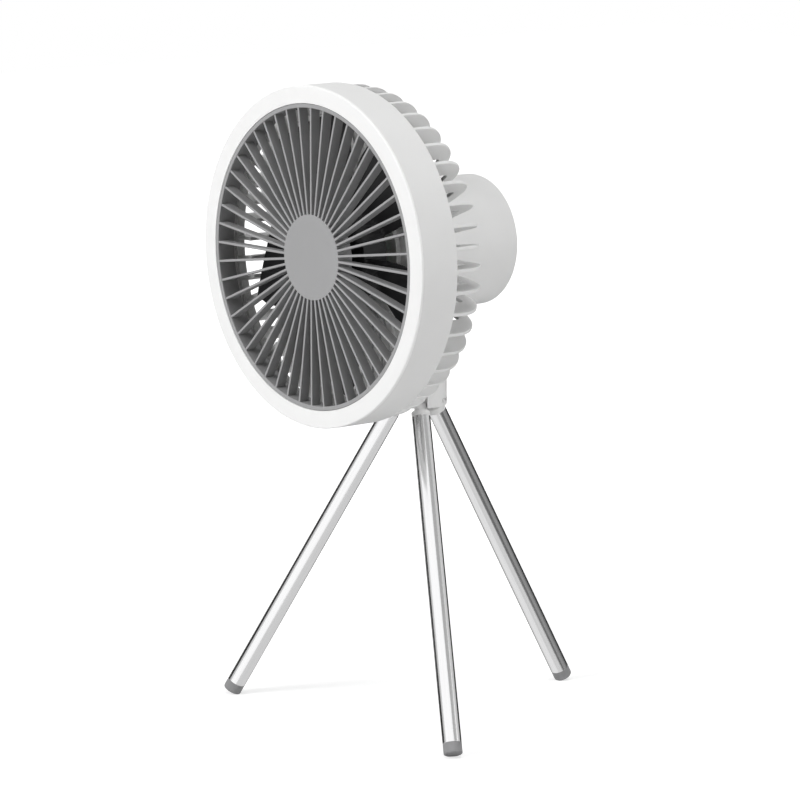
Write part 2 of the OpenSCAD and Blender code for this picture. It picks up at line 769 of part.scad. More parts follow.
module battery_holder() {
    rib_t = 2;
    color([0.2, 0.2, 0.22]) head_frame() translate([0, 0, floor_rear]) difference() {
        union() {
            cylinder(r = holder_r, h = holder_l);
            around(cell_count, cell_a) translate([0, -rib_t / 2, 0])
                cube([pod_r - pod_wall - snap_gap, rib_t, holder_l - cover_boss_l]);
        }
        around(cell_count, cell_a) translate([cell_ring_r, 0, holder_floor])
            cylinder(r = cell_d / 2 + cell_gap, h = holder_l);
        translate([0, 0, -over]) cylinder(r = cell_ring_r / 3, h = holder_l + 2 * over, $fn = 48);
    }
}

module battery_cells() {
    nub_r = 3;
    nub_h = 0.8;
    color([0.2, 0.45, 0.75]) head_frame() translate([0, 0, floor_rear + holder_floor])
        around(cell_count, cell_a) translate([cell_ring_r, 0, 0]) {
            cylinder(d = cell_d, h = cell_l - nub_h);
            cylinder(r = nub_r, h = cell_l, $fn = 48);
        }
}

module control_board() {
    color([0.1, 0.4, 0.22]) head_frame() difference() {
        translate([0, 0, control_front]) cylinder(r = control_r, h = board_t);
        around(post_n, post_a) translate([post_ring, 0, 0])
            cylinder(r = board_screw[2] + screw_gap, h = pod_end, $fn = 32);
    }
}

module board_screws() {
    color([0.75, 0.76, 0.78]) head_frame() around(post_n, post_a)
        translate([post_ring, 0, control_front]) rotate([180, 0, 0]) pan_screw(board_screw);
}

module status_leds() {
    first = -(status_count - 1) / 2 * status_step - status_size[0] / 2;
    color([0.95, 0.95, 0.9]) head_frame() for (k = [0:status_count - 1])
        translate([first + k * status_step, -lens_up - status_size[1] / 2, control_rear])
            cube(status_size);
}

module button_switches() {
    stem_h = 0.5;
    color([0.25, 0.25, 0.27]) head_frame() for (s = [-1, 1])
        translate([s * button_off, 0, control_rear]) {
            translate([-switch_l / 2, -switch_l / 2, 0]) cube([switch_l, switch_l, switch_t - stem_h]);
            cylinder(r = stem_r, h = switch_t, $fn = 32);
        }
}

module usb_c_socket() {
    depth = cover_rear - socket_gap - control_rear;
    floor_t = 1;
    let_in = 0.5;
    tongue = [6.4, 0.7, depth - 1.3];    // the contact tongue inside
    color([0.8, 0.8, 0.82]) head_frame() translate([0, socket_down, control_rear]) {
        difference() {
            linear_extrude(height = depth) slot_2d(socket_w, socket_h);
            translate([0, 0, floor_t]) linear_extrude(height = depth)
                slot_2d(socket_w - 2 * socket_wall, socket_h - 2 * socket_wall);
        }
        translate([-tongue[0] / 2, -tongue[1] / 2, let_in]) cube(tongue);
    }
}

module rear_cover() {
    post_r = 2.2;
    let_in = 0.5;
    skin = 1;                            // left over the posts' screw holes
    color([0.93, 0.93, 0.93]) head_frame() difference() {
        union() {
            translate([0, 0, cover_front]) cylinder(r = pod_r - pod_wall - snap_gap, h = cover_t);
            around(post_n, post_a) translate([post_ring, 0, control_rear])
                cylinder(r = post_r, h = cover_front - control_rear + let_in, $fn = 48);
        }
        around(post_n, post_a) translate([post_ring, 0, 0])
            cylinder(r = board_screw[2] + slip, h = cover_rear - skin, $fn = 32);
        for (s = [-1, 1]) translate([s * button_off, 0, cover_front - over])
            cylinder(r = button_r + button_gap, h = cover_t + 2 * over, $fn = 64);
        translate([0, socket_down, cover_front - over]) linear_extrude(height = cover_t + 2 * over)
            slot_2d(socket_w + 2 * socket_gap, socket_h + 2 * socket_gap);
        translate([0, -lens_up, cover_front - over]) linear_extrude(height = cover_t + 2 * over)
            slot_2d(lens_l + 2 * slip, lens_h + 2 * slip);
        around(cover_screw_n, cover_screw_a) translate([cover_screw_r, 0, cover_front - over]) {
            cylinder(r = board_screw[2] + screw_gap, h = cover_t + 2 * over, $fn = 32);
            translate([0, 0, over + cover_t - board_screw[1] - screw_sink])
                cylinder(r = board_screw[0] + screw_sink, h = cover_t, $fn = 32);
        }
    }
}

module cover_screws() {
    color([0.75, 0.76, 0.78]) head_frame() around(cover_screw_n, cover_screw_a)
        translate([cover_screw_r, 0, cover_rear - board_screw[1] - screw_sink])
            pan_screw(board_screw);
}

module indicator_lens() {
    color([0.8, 0.82, 0.84]) head_frame() translate([0, -lens_up, 0]) {
        translate([0, 0, cover_front]) linear_extrude(height = cover_t) slot_2d(lens_l, lens_h);
        translate([0, 0, cover_front - lens_lip])
            linear_extrude(height = lens_lip) slot_2d(lens_l + 2 * lens_rim, lens_h + 2 * lens_rim);
    }
}

module button(s) {
    stem_l = 0.8;
    edge = 0.5;
    base = cover_front - joint_gap - flange_t;
    top = cover_rear + button_proud;
    color([0.86, 0.87, 0.88]) head_frame() translate([s * button_off, 0, 0]) {
        translate([0, 0, base]) cylinder(r = button_r + flange_w, h = flange_t, $fn = 64);
        rotate_extrude($fn = 64) {
            translate([0, base]) square([button_r, top - base - edge]);
            translate([0, base]) square([button_r - edge, top - base]);
            translate([button_r - edge, top - edge]) circle(r = edge, $fn = 32);
        }
        translate([0, 0, control_rear + switch_t + button_travel + washer_gap])
            cylinder(r = stem_r, h = stem_l, $fn = 32);
    }
}
module power_button() { button(-1); }
module light_button() { button(1); }

// Tripod

module tripod_hub() {
    slot_in = pin_r - lug_r - side_gap;
    edge = hub_edge;
    color([0.93, 0.93, 0.93]) difference() {
        union() {
            translate([0, tripod_y, hub_bottom]) rotate_extrude() {
                square([hub_r, hub_h - edge]);
                square([hub_r - edge, hub_h]);
                translate([hub_r - edge, hub_h - edge]) circle(r = edge, $fn = 48);
            }
            translate([-tongue_w / 2, tripod_y, tilt_z]) rotate([0, 90, 0])
                cylinder(r = ear_r, h = tongue_w, $fn = 64);
            translate([-tongue_w / 2, tripod_y - ear_r, hub_top - over])
                cube([tongue_w, 2 * ear_r, tilt_rise + over]);
        }
        for (k = [0:2]) translate([0, tripod_y, 0]) rotate([0, 0, leg_az[k]]) {
            translate([slot_in, -slot_w / 2, hub_bottom - over])
                cube([hub_r, slot_w, slot_roof - hub_bottom + over]);
            translate([pin_r, -hub_r / 2, pin_z]) rotate([-90, 0, 0])
                cylinder(r = pin_d / 2 + press, h = hub_d, $fn = 48);
        }
        translate([-tongue_w, tripod_y, tilt_z]) rotate([0, 90, 0])
            cylinder(r = tilt_pin_d / 2 + press, h = 2 * tongue_w, $fn = 64);
    }
}

module leg_pins() {
    end_in = 0.4;                        // from a pin's end to the hub's wall
    end = sqrt(hub_r * hub_r - pow(pin_r + pin_d / 2, 2)) - end_in;
    color([0.75, 0.76, 0.78]) translate([0, tripod_y, pin_z]) for (k = [0:2])
        rotate([0, 0, leg_az[k]]) translate([pin_r, -hub_r / 2, 0]) rotate([-90, 0, 0])
            cylinder(r = pin_d / 2, h = end + hub_r / 2, $fn = 48);
}

module leg_knuckle(k) {
    plug_l = 12;
    color([0.93, 0.93, 0.93]) leg_frame(k) difference() {
        union() {
            rotate([90, 0, 0]) cylinder(r = lug_r, h = lug_w, center = true, $fn = 64);
            translate([-lug_r, -lug_r, -collar_at - over]) cube([lug_w, lug_w, collar_at + over]);
            translate([0, 0, -collar_at - collar_t]) cylinder(r = leg_r, h = collar_t, $fn = 64);
            translate([0, 0, -collar_at - collar_t - plug_l])
                cylinder(r = plug_r, h = plug_l + over, $fn = 64);
        }
        rotate([90, 0, 0]) cylinder(r = pin_d / 2 + run_gap, h = 2 * lug_w, center = true, $fn = 48);
    }
}
module leg_knuckle_1() { leg_knuckle(0); }
module leg_knuckle_2() { leg_knuckle(1); }
module leg_knuckle_3() { leg_knuckle(2); }

module leg_tube(k) {
    top = collar_at + collar_t;
    color([0.82, 0.82, 0.83]) leg_frame(k) rotate([180, 0, 0])
        ring(leg_r, leg_r - leg_wall, top, leg_len - foot_l, $fn = 64);
}
module leg_tube_1() { leg_tube(0); }
module leg_tube_2() { leg_tube(1); }
module leg_tube_3() { leg_tube(2); }

module foot_cap(k) {
    plug_l = 10;
    color([0.55, 0.55, 0.55]) difference() {
        leg_frame(k) rotate([180, 0, 0]) {
            translate([0, 0, leg_len - foot_l]) rotate_extrude($fn = 64) {
                square([leg_r, foot_l - foot_edge]);
                square([leg_r - foot_edge, foot_l]);
                translate([leg_r - foot_edge, foot_l - foot_edge]) circle(r = foot_edge, $fn = 48);
            }
            translate([0, 0, leg_len - foot_l - plug_l])
                cylinder(r = plug_r, h = plug_l + over, $fn = 64);
        }
        translate([-2 * foot_reach, -2 * foot_reach, -leg_d])
            cube([4 * foot_reach, 4 * foot_reach, leg_d]);
    }
}
module foot_cap_1() { foot_cap(0); }
module foot_cap_2() { foot_cap(1); }
module foot_cap_3() { foot_cap(2); }

module tilt_pin() {
    head_x = ear_out + washer_gap;
    thread_l = 2;                        // how far the pin runs into its nut
    key_r = 1.7;
    key_d = 1.4;
    let_in = 0.1;
    color([0.75, 0.76, 0.78]) translate([0, tripod_y, tilt_z]) rotate([0, 90, 0]) difference() {
        union() {
            translate([0, 0, head_x]) cylinder(r = pin_head_r, h = pin_head_t, $fn = 64);
            translate([0, 0, -head_x - thread_l])
                cylinder(r = tilt_pin_d / 2, h = 2 * head_x + thread_l + let_in, $fn = 64);
        }
        translate([0, 0, head_x + pin_head_t - key_d]) cylinder(r = key_r, h = key_d + over, $fn = 6);
    }
}

module tilt_nut() {
    bore_l = 2.1;
    color([0.75, 0.76, 0.78]) translate([0, tripod_y, tilt_z]) rotate([0, -90, 0])
        translate([0, 0, ear_out + washer_gap]) difference() {
            cylinder(r = pin_head_r, h = tilt_nut_t, $fn = 6);
            translate([0, 0, -over]) cylinder(r = tilt_pin_d / 2 + press, h = bore_l + over, $fn = 64);
        }
}

module friction_washers() {
    washer_in = 1;                       // setback of a washer inside the tongue's edge
    color([0.15, 0.15, 0.16]) translate([0, tripod_y, tilt_z]) rotate([0, 90, 0])
        for (s = [-1, 1]) translate([0, 0, s * (tongue_w + washer_t) / 2 - washer_t / 2])
            ring(ear_r - washer_in, tilt_pin_d / 2 + press, 0, washer_t, $fn = 64);
}

light_ring();
led_board();
leds();
front_grille();
head_band();
rear_guard();
guard_screws();
motor_base();
bearing_tube();
front_bearing();
rear_bearing();
stator_core();
stator_coils();
motor_board();
motor_screws();
impeller();
rotor_can();
rotor_magnets();
motor_shaft();
impeller_nut();
shaft_clip();
pod_shell();
pod_screws();
battery_holder();
battery_cells();
control_board();
board_screws();
status_leds();
button_switches();
usb_c_socket();
rear_cover();
cover_screws();
indicator_lens();
power_button();
light_button();
tilt_pin();
tilt_nut();
friction_washers();
tripod_hub();
leg_pins();
leg_knuckle_1();
leg_knuckle_2();
leg_knuckle_3();
leg_tube_1();
leg_tube_2();
leg_tube_3();
foot_cap_1();
foot_cap_2();
foot_cap_3();
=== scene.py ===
import bpy
import json
import math
from mathutils import Matrix, Vector


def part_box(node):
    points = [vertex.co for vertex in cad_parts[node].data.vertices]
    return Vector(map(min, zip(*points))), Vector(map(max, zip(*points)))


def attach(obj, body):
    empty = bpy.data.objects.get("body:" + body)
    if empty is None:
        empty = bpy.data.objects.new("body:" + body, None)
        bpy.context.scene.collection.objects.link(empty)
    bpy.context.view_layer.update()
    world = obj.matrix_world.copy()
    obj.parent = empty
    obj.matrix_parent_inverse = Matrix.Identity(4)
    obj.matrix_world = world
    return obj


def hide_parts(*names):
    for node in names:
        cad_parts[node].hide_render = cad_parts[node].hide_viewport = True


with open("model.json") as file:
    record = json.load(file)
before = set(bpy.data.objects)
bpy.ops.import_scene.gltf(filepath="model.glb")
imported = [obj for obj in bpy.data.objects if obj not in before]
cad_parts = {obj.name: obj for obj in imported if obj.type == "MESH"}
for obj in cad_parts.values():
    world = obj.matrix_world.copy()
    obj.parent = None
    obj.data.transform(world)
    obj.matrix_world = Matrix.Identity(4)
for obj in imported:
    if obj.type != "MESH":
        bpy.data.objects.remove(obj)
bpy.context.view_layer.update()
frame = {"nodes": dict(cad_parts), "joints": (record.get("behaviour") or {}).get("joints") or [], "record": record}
nodes = frame["nodes"]
print("frame loaded,", len(nodes), "nodes")

mm = 0.001
fullTurn = 2 * math.pi
weld = 0.002 * mm                          # doubles closer than this are merged
wideSteps = 192                            # faces round the head's turned pieces
boreSides = 24                             # faces round a screw hole
postSides = 40                             # faces round a screw post
wallCut = 10                               # mm, length of a cutter through a thin wall
bossCut = 20                               # mm, of one that leaves a boss at its far end
crossCut = 12                              # mm, of one across an ear or a leg's tongue
cutLead = 2                                # mm that a cutter starts ahead of its wall
arcGap = 0.01                              # mm between the two arcs of a half-round end
slotGap = 0.001                            # the same in the ends of a slot


# where the head is, read from the frame

ringLow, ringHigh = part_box("light_ring")
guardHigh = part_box("rear_guard")[1]
podLow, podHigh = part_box("pod_shell")
hubLow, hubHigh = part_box("tripod_hub")
headRadius = (ringHigh.x - ringLow.x) / 2
headHeight = (ringHigh.z + ringLow.z) / 2
faceY = ringLow.y
guardRear = guardHigh.y - faceY
podRear = podHigh.y - faceY


def jointSpot(name):
    joint = next(j for j in frame["joints"] if j["name"] == name)
    return Vector(joint["pos_m"])


# tools for modelling by hand

def deselectAll():
    if bpy.context.object and bpy.context.object.mode != "OBJECT":
        bpy.ops.object.mode_set(mode="OBJECT")
    bpy.ops.object.select_all(action="DESELECT")


def pick(*pieces):
    deselectAll()
    for piece in pieces:
        piece.select_set(True)
    bpy.context.view_layer.objects.active = pieces[0]
    return pieces[0]


def applyPlace(piece):
    pick(piece)
    bpy.ops.object.transform_apply(location=True, rotation=True, scale=True)
    return piece


def cleanMesh(piece):
    pick(piece)
    bpy.ops.object.mode_set(mode="EDIT")
    bpy.ops.mesh.select_all(action="SELECT")
    bpy.ops.mesh.remove_doubles(threshold=weld)
    bpy.ops.mesh.normals_make_consistent(inside=False)
    bpy.ops.object.mode_set(mode="OBJECT")
    return piece


def arcCorners(corners, segments=5):
    # corners are (x, y, radius): a radius of 0 stays sharp, any other becomes an arc
    points = []
    for i, (x, y, radius) in enumerate(corners):
        here = Vector((x, y))
        if radius == 0:
            points.append(here)
            continue
        back = (Vector(corners[i - 1][:2]) - here).normalized()
        ahead = (Vector(corners[(i + 1) % len(corners)][:2]) - here).normalized()
        half = back.angle(ahead) / 2
        reach = radius / math.tan(half)
        centre = here + (back + ahead).normalized() * radius / math.sin(half)
        first = here + back * reach - centre
        last = here + ahead * reach - centre
        start = math.atan2(first.y, first.x)
        sweep = (math.atan2(last.y, last.x) - start + math.pi) % fullTurn - math.pi
        for k in range(segments + 1):
            angle = start + sweep * k / segments
            points.append(centre + radius * Vector((math.cos(angle), math.sin(angle))))
    return points


def drawLine(name, points):
    # a line of edges, drawn by extruding one vertex from point to point
    deselectAll()
    bpy.ops.mesh.primitive_plane_add(size=mm, location=points[0])
    piece = bpy.context.object
    piece.name = name
    applyPlace(piece)
    bpy.ops.object.mode_set(mode="EDIT")
    bpy.ops.mesh.select_all(action="SELECT")
    bpy.ops.mesh.merge(type="CENTER")
    here = points[0]
    for there in points[1:]:
        bpy.ops.mesh.extrude_vertices_move(TRANSFORM_OT_translate={"value": there - here})
        here = there
    bpy.ops.mesh.select_all(action="SELECT")
    return piece


def drawOutline(name, points):
    # a closed line, or one that begins and ends on the turning axis
    onAxis = points[0].xy.length < weld and points[-1].xy.length < weld
    piece = drawLine(name, points if onAxis else points + points[:1])
    bpy.ops.mesh.remove_doubles(threshold=weld)
    return piece


def turnedPiece(name, corners, steps=144, segments=5):
    # corners are (radius, depth, rounding) in mm, turned about Z
    outline = [Vector((p.x, 0, p.y)) * mm for p in arcCorners(corners, segments)]
    piece = drawOutline(name, outline)
    bpy.ops.mesh.select_all(action="SELECT")
    bpy.ops.mesh.spin(steps=steps, angle=fullTurn, center=(0, 0, 0), axis=(0, 0, 1))
    bpy.ops.object.mode_set(mode="OBJECT")
    return cleanMesh(piece)


def platePiece(name, corners, thickness, segments=5, plane="XZ"):
    # an outline in mm, filled and extruded to a thickness in mm, half on each side of its plane
    lift = {"XZ": Vector((0, 1, 0)), "XY": Vector((0, 0, 1)), "YZ": Vector((1, 0, 0))}[plane]
    flat = arcCorners(corners, segments)
    if plane == "XZ":
        points = [Vector((p.x, 0, p.y)) for p in flat]
    elif plane == "XY":
        points = [Vector((p.x, p.y, 0)) for p in flat]
    else:
        points = [Vector((0, p.x, p.y)) for p in flat]
    points = [(p - lift * thickness / 2) * mm for p in points]
    piece = drawOutline(name, points)
    bpy.ops.mesh.select_all(action="SELECT")
    bpy.ops.mesh.edge_face_add()
    bpy.ops.mesh.extrude_region_move(TRANSFORM_OT_translate={"value": lift * thickness * mm})
    bpy.ops.object.mode_set(mode="OBJECT")
    return cleanMesh(piece)


def softEdges(piece, width, segments=3, angle=40):
    pick(piece)
    bpy.ops.object.modifier_add(type="BEVEL")
    bevel = piece.modifiers[-1]
    bevel.limit_method = "ANGLE"
    bevel.angle_limit = math.radians(angle)
    bevel.width = width * mm
    bevel.segments = segments
    bpy.ops.object.modifier_apply(modifier=bevel.name)
    return piece


def cutWith(piece, *tools):
    for tool in tools:
        pick(piece)
        bpy.ops.object.modifier_add(type="BOOLEAN")
        cut = piece.modifiers[-1]
        cut.operation = "DIFFERENCE"
        cut.solver = "EXACT"
        cut.object = tool
        bpy.ops.object.modifier_apply(modifier=cut.name)
        bpy.data.objects.remove(tool)
    return piece


def joinAll(piece, *others):
    pick(piece, *others)
    bpy.ops.object.join()
    return piece


def repeatAround(piece, count):
    deselectAll()
    bpy.ops.object.empty_add(location=(0, 0, 0), rotation=(0, 0, fullTurn / count))
    turner = bpy.context.object
    pick(piece)
    bpy.ops.object.modifier_add(type="ARRAY")
    array = piece.modifiers[-1]
    array.use_relative_offset = False
    array.use_object_offset = True
    array.offset_object = turner
    array.count = count
    bpy.ops.object.modifier_apply(modifier=array.name)
    bpy.data.objects.remove(turner)
    return piece


def turnAbout(piece, degrees):
    piece.rotation_euler = (0, 0, math.radians(degrees))
    return applyPlace(piece)


def outTo(piece, circle, degrees):
    # moved out from the axis to a circle in mm, then turned round it
    piece.location = (circle * mm, 0, 0)
    applyPlace(piece)
    return turnAbout(piece, degrees)


def roundBar(name, radius, depth, spot=(0, 0, 0), sides=32):
    # a plain cylinder along Z from its spot upwards, used as a cutter or a post
    deselectAll()
    middle = (Vector(spot) + Vector((0, 0, depth / 2))) * mm
    bpy.ops.mesh.primitive_cylinder_add(vertices=sides, radius=radius * mm, depth=depth * mm,
                                        location=middle)
    piece = bpy.context.object
    piece.name = name
    return applyPlace(piece)


def intoHead(piece):
    piece.rotation_euler = (-math.pi / 2, 0, 0)
    piece.location = (0, faceY, headHeight)
    return applyPlace(piece)


def smooth(piece, degrees=35):
    # large faces set the shading, so a small rounding doesn't bend the look of the wall beside it
    pick(piece)
    bpy.ops.object.shade_smooth_by_angle(angle=math.radians(degrees))
    bpy.ops.object.modifier_add(type="WEIGHTED_NORMAL")
    even = piece.modifiers[-1]
    even.keep_sharp = True
    bpy.ops.object.modifier_apply(modifier=even.name)
    return piece


def finishPiece(piece, material, body, slot, *replaced):
    piece.data.materials.clear()
    piece.data.materials.append(material)
    smooth(piece)
    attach(piece, body)
    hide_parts(*replaced)
    print("  made", piece.name, len(piece.data.polygons), "faces")
    return piece


# materials, all procedural

def newMaterial(name, baseColor, roughness, metallic=0.0):
    material = bpy.data.materials.new(name)
    material.use_nodes = True
    tree = material.node_tree
    shader = tree.nodes["Principled BSDF"]
    shader.inputs["Base Color"].default_value = (*baseColor, 1)
    shader.inputs["Roughness"].default_value = roughness
    shader.inputs["Metallic"].default_value = metallic
    return material, tree, shader


def objectNoise(tree, scale, detail=2.0, stretch=(1, 1, 1), turn=(0, 0, 0)):
    # the pattern is as many times longer along its own turned axes as stretch says
    coordinate = tree.nodes.new("ShaderNodeTexCoord")
    mapping = tree.nodes.new("ShaderNodeMapping")
    mapping.vector_type = "TEXTURE"
    noise = tree.nodes.new("ShaderNodeTexNoise")
    mapping.inputs["Scale"].default_value = stretch
    mapping.inputs["Rotation"].default_value = turn
    noise.inputs["Scale"].default_value = scale
    noise.inputs["Detail"].default_value = detail
    tree.links.new(coordinate.outputs["Object"], mapping.inputs["Vector"])
    tree.links.new(mapping.outputs["Vector"], noise.inputs["Vector"])
    return noise.outputs["Fac"]


def spread(tree, value, low, high):
    ramp = tree.nodes.new("ShaderNodeMapRange")
    ramp.inputs["From Min"].default_value = 0.3
    ramp.inputs["From Max"].default_value = 0.7
    ramp.inputs["To Min"].default_value = low
    ramp.inputs["To Max"].default_value = high
    tree.links.new(value, ramp.inputs["Value"])
    return ramp.outputs["Result"]


def tint(tree, value, dark, light):
    ramp = tree.nodes.new("ShaderNodeValToRGB")
    ramp.color_ramp.elements[0].position = 0.3
    ramp.color_ramp.elements[0].color = (*dark, 1)
    ramp.color_ramp.elements[1].position = 0.7
    ramp.color_ramp.elements[1].color = (*light, 1)
    tree.links.new(value, ramp.inputs["Fac"])
    return ramp.outputs["Color"]


def roughen(tree, shader, height, strength, distance):
    bump = tree.nodes.new("ShaderNodeBump")
    bump.inputs["Strength"].default_value = strength
    bump.inputs["Distance"].default_value = distance
    tree.links.new(height, bump.inputs["Height"])
    tree.links.new(bump.outputs["Normal"], shader.inputs["Normal"])


def shade(color, factor):
    return tuple(min(1.0, c * factor) for c in color)


def mouldedPlastic(name, color, roughness, grain=0.12, specular=0.4, variation=0.02):
    material, tree, shader = newMaterial(name, color, roughness)
    cloud = objectNoise(tree, 28, 3)
    fine = objectNoise(tree, 2600, 2)
    tree.links.new(tint(tree, cloud, shade(color, 1 - variation), shade(color, 1 + variation)),
                   shader.inputs["Base Color"])
    tree.links.new(spread(tree, objectNoise(tree, 140, 3), roughness - 0.05, roughness + 0.05),
                   shader.inputs["Roughness"])
    roughen(tree, shader, fine, grain, 0.04 * mm)
    shader.inputs["Specular IOR Level"].default_value = specular
    return material


def milkyDiffuser(name, color):
    material, tree, shader = newMaterial(name, color, 0.4)
    cloud = objectNoise(tree, 40, 2)
    tree.links.new(tint(tree, cloud, shade(color, 0.99), shade(color, 1.01)),
                   shader.inputs["Base Color"])
    roughen(tree, shader, objectNoise(tree, 3200, 2), 0.06, 0.03 * mm)
    shader.inputs["Subsurface Weight"].default_value = 0.15
    shader.inputs["Subsurface Radius"].default_value = (1.2 * mm, 1.2 * mm, 1.2 * mm)
    shader.inputs["Subsurface Scale"].default_value = 1.0
    shader.inputs["Specular IOR Level"].default_value = 0.35
    return material


def brushedMetal(name, color, roughness, stretch=(1, 1, 1), turn=(0, 0, 0), lines=900,
                 depth=0.01):
    material, tree, shader = newMaterial(name, color, roughness, 1.0)
    brush = objectNoise(tree, lines, 3, stretch, turn)
    tree.links.new(spread(tree, brush, roughness - 0.03, roughness + 0.04),
                   shader.inputs["Roughness"])
    tree.links.new(tint(tree, brush, shade(color, 0.97), shade(color, 1.02)),
                   shader.inputs["Base Color"])
    roughen(tree, shader, brush, 0.1, depth * mm)
    return material


def turnedMetal(name, color, roughness):
    return brushedMetal(name, color, roughness, lines=1400)


def softRubber(name, color, roughness=0.65):
    material, tree, shader = newMaterial(name, color, roughness)
    cloud = objectNoise(tree, 90, 3)
    tree.links.new(tint(tree, cloud, shade(color, 0.93), shade(color, 1.06)),
                   shader.inputs["Base Color"])
    roughen(tree, shader, objectNoise(tree, 1800, 3), 0.25, 0.06 * mm)
    shader.inputs["Specular IOR Level"].default_value = 0.3
    return material


plasticColors = {
    "white": (0.80, 0.80, 0.795),
    "diffuser": (0.93, 0.93, 0.925),
    "gray": (0.37, 0.37, 0.374),
    "black": (0.016, 0.016, 0.017),
    "button": (0.46, 0.46, 0.465),
    "board": (0.012, 0.13, 0.055),
    "sleeve": (0.05, 0.2, 0.46),
}

whitePlastic = mouldedPlastic("whitePlastic", plasticColors["white"], 0.42)
grayPlastic = mouldedPlastic("grayPlastic", plasticColors["gray"], 0.5, specular=0.2)
blackPlastic = mouldedPlastic("blackPlastic", plasticColors["black"], 0.4, variation=0.08)
buttonPlastic = mouldedPlastic("buttonPlastic", plasticColors["button"], 0.4)
boardLacquer = mouldedPlastic("boardLacquer", plasticColors["board"], 0.3, variation=0.1)
sleevePlastic = mouldedPlastic("sleevePlastic", plasticColors["sleeve"], 0.28, variation=0.06)
diffuser = milkyDiffuser("diffuserPlastic", plasticColors["diffuser"])
ledResin = milkyDiffuser("ledResin", (0.9, 0.84, 0.5))
smokedLens = mouldedPlastic("smokedLens", (0.5, 0.52, 0.54), 0.15)
screwSteel = turnedMetal("screwSteel", (0.62, 0.62, 0.63), 0.34)
groundSteel = turnedMetal("groundSteel", (0.7, 0.7, 0.71), 0.22)
coreSteel = brushedMetal("coreSteel", (0.34, 0.34, 0.35), 0.45, (12, 1, 12))
canSteel = turnedMetal("canSteel", (0.52, 0.52, 0.53), 0.32)
darkSteel = turnedMetal("darkSteel", (0.07, 0.07, 0.075), 0.4)
copperWire = brushedMetal("copperWire", (0.62, 0.27, 0.12), 0.35, (6, 1, 6))
brassTurned = turnedMetal("brassTurned", (0.62, 0.48, 0.2), 0.3)
magnetCeramic = softRubber("magnetCeramic", (0.05, 0.05, 0.055), 0.6)
washerRubber = softRubber("washerRubber", (0.03, 0.03, 0.032))
footRubber = softRubber("footRubber", (0.29, 0.29, 0.295))


legAzimuths = [math.radians(a) for a in (-30, 90, 210)]
legSplay = math.radians(30)                # how far an open leg leans out
legFinish = {
    "color": (0.96, 0.96, 0.965), "roughness": 0.17, "stretch": (1, 1, 60), "lines": 1800,
    "depth": 0.004,
}


def legAluminium(name, azimuth):
    # the brush lines run along the leg: the pattern's Z is turned to lie on it
    return brushedMetal(name, turn=(0, -legSplay, azimuth), **legFinish)


legMetals = [legAluminium(f"legAluminium{k}", azimuth) for k, azimuth in enumerate(legAzimuths, 1)]
slotMaterials = {
    "diffuser": diffuser, "white_board": whitePlastic, "led": ledResin, "gray_plastic": grayPlastic,
    "white_plastic": whitePlastic, "steel": screwSteel, "bearing_steel": groundSteel,
    "core_steel": coreSteel, "can_steel": canSteel, "black_steel": darkSteel,
    "magnet": magnetCeramic, "copper": copperWire, "brass": brassTurned,
    "green_board": boardLacquer, "black_plastic": blackPlastic, "cell_sleeve": sleevePlastic,
    "lens": smokedLens, "rubber": washerRubber, "foot_rubber": footRubber,
}
nodeMaterials = {
    "power_button": buttonPlastic, "light_button": buttonPlastic,
    "leg_tube_1": legMetals[0], "leg_tube_2": legMetals[1], "leg_tube_3": legMetals[2],
}
for row in frame["record"]["subparts"]:
    name = row["node"]
    cadNode = nodes[name]
    cadNode.data.materials.clear()
    cadNode.data.materials.append(nodeMaterials.get(name) or slotMaterials[row["material_slot"]])
print("materials ready")


# floor, light and camera

studio = {
    "floorSize": 6.0,
    "floorColor": (0.64, 0.64, 0.64),
    "floorGlow": (0.62, 1.0),             # for the camera alone, near the object and far away
    "floorFade": (0.25, 0.9),             # between these distances from the middle it rises
    "airLight": 0.1,
    "aim": (0, 0, 0.2),
    # square lamps turned to the aim: place, size and power
    "lamps": {
        "frontBox": ((-0.5, -3.0, 0.7), 1.4, 30),
        "highBox": ((-0.4, -3.0, 2.2), 1.0, 52),
        "topBox": ((0.6, 0.0, 3.0), 2.4, 41),
        "rightBox": ((3.0, 0.9, 0.25), 1.4, 56),
        "leftBox": ((-3.0, 0.2, 0.6), 1.6, 10),
        "rearBox": ((-0.4, 3.2, 0.8), 1.6, 10),
    },
    # dark and gray boards that only metal and gloss see: from, to (degrees to the right of the
    # camera), lowest, highest (degrees above the horizon) and how bright
    "flagRadius": 1.5,
    "flagSteps": 16,
    "flags": {
        "flagLeft": (-150, -103, -24, 24, 0.03),
        "flagLeftSoft": (-103, -82, -24, 30, 0.56),
        "flagLeftBehind": (-180, -144, -36, -13, 0.12),
        "flagRight": (38, 72, -40, 2, 0.13),
        "flagRightFar": (72, 102, -40, 2, 0.27),
        "flagRightEdge": (102, 122, -40, 2, 0.17),
        "flagRightHigh": (30, 84, 24, 62, 0.39),
        "flagRightMid": (84, 122, 2, 32, 0.59),
        "flagBehind": (122, 180, -34, 12, 0.02),
    },
    # the same as rounds below the floor: degrees to the right, how far out, radius, how far from
    # the aim's height and how bright
    "floorFlagSides": 48,
    "floorFlags": {
        "flagFloor": (0, 0.0, 1.5, -1.05, 0.62),
        "flagFloorLeft": (-75, 0.8, 0.78, -1.04, 0.77),
    },
}


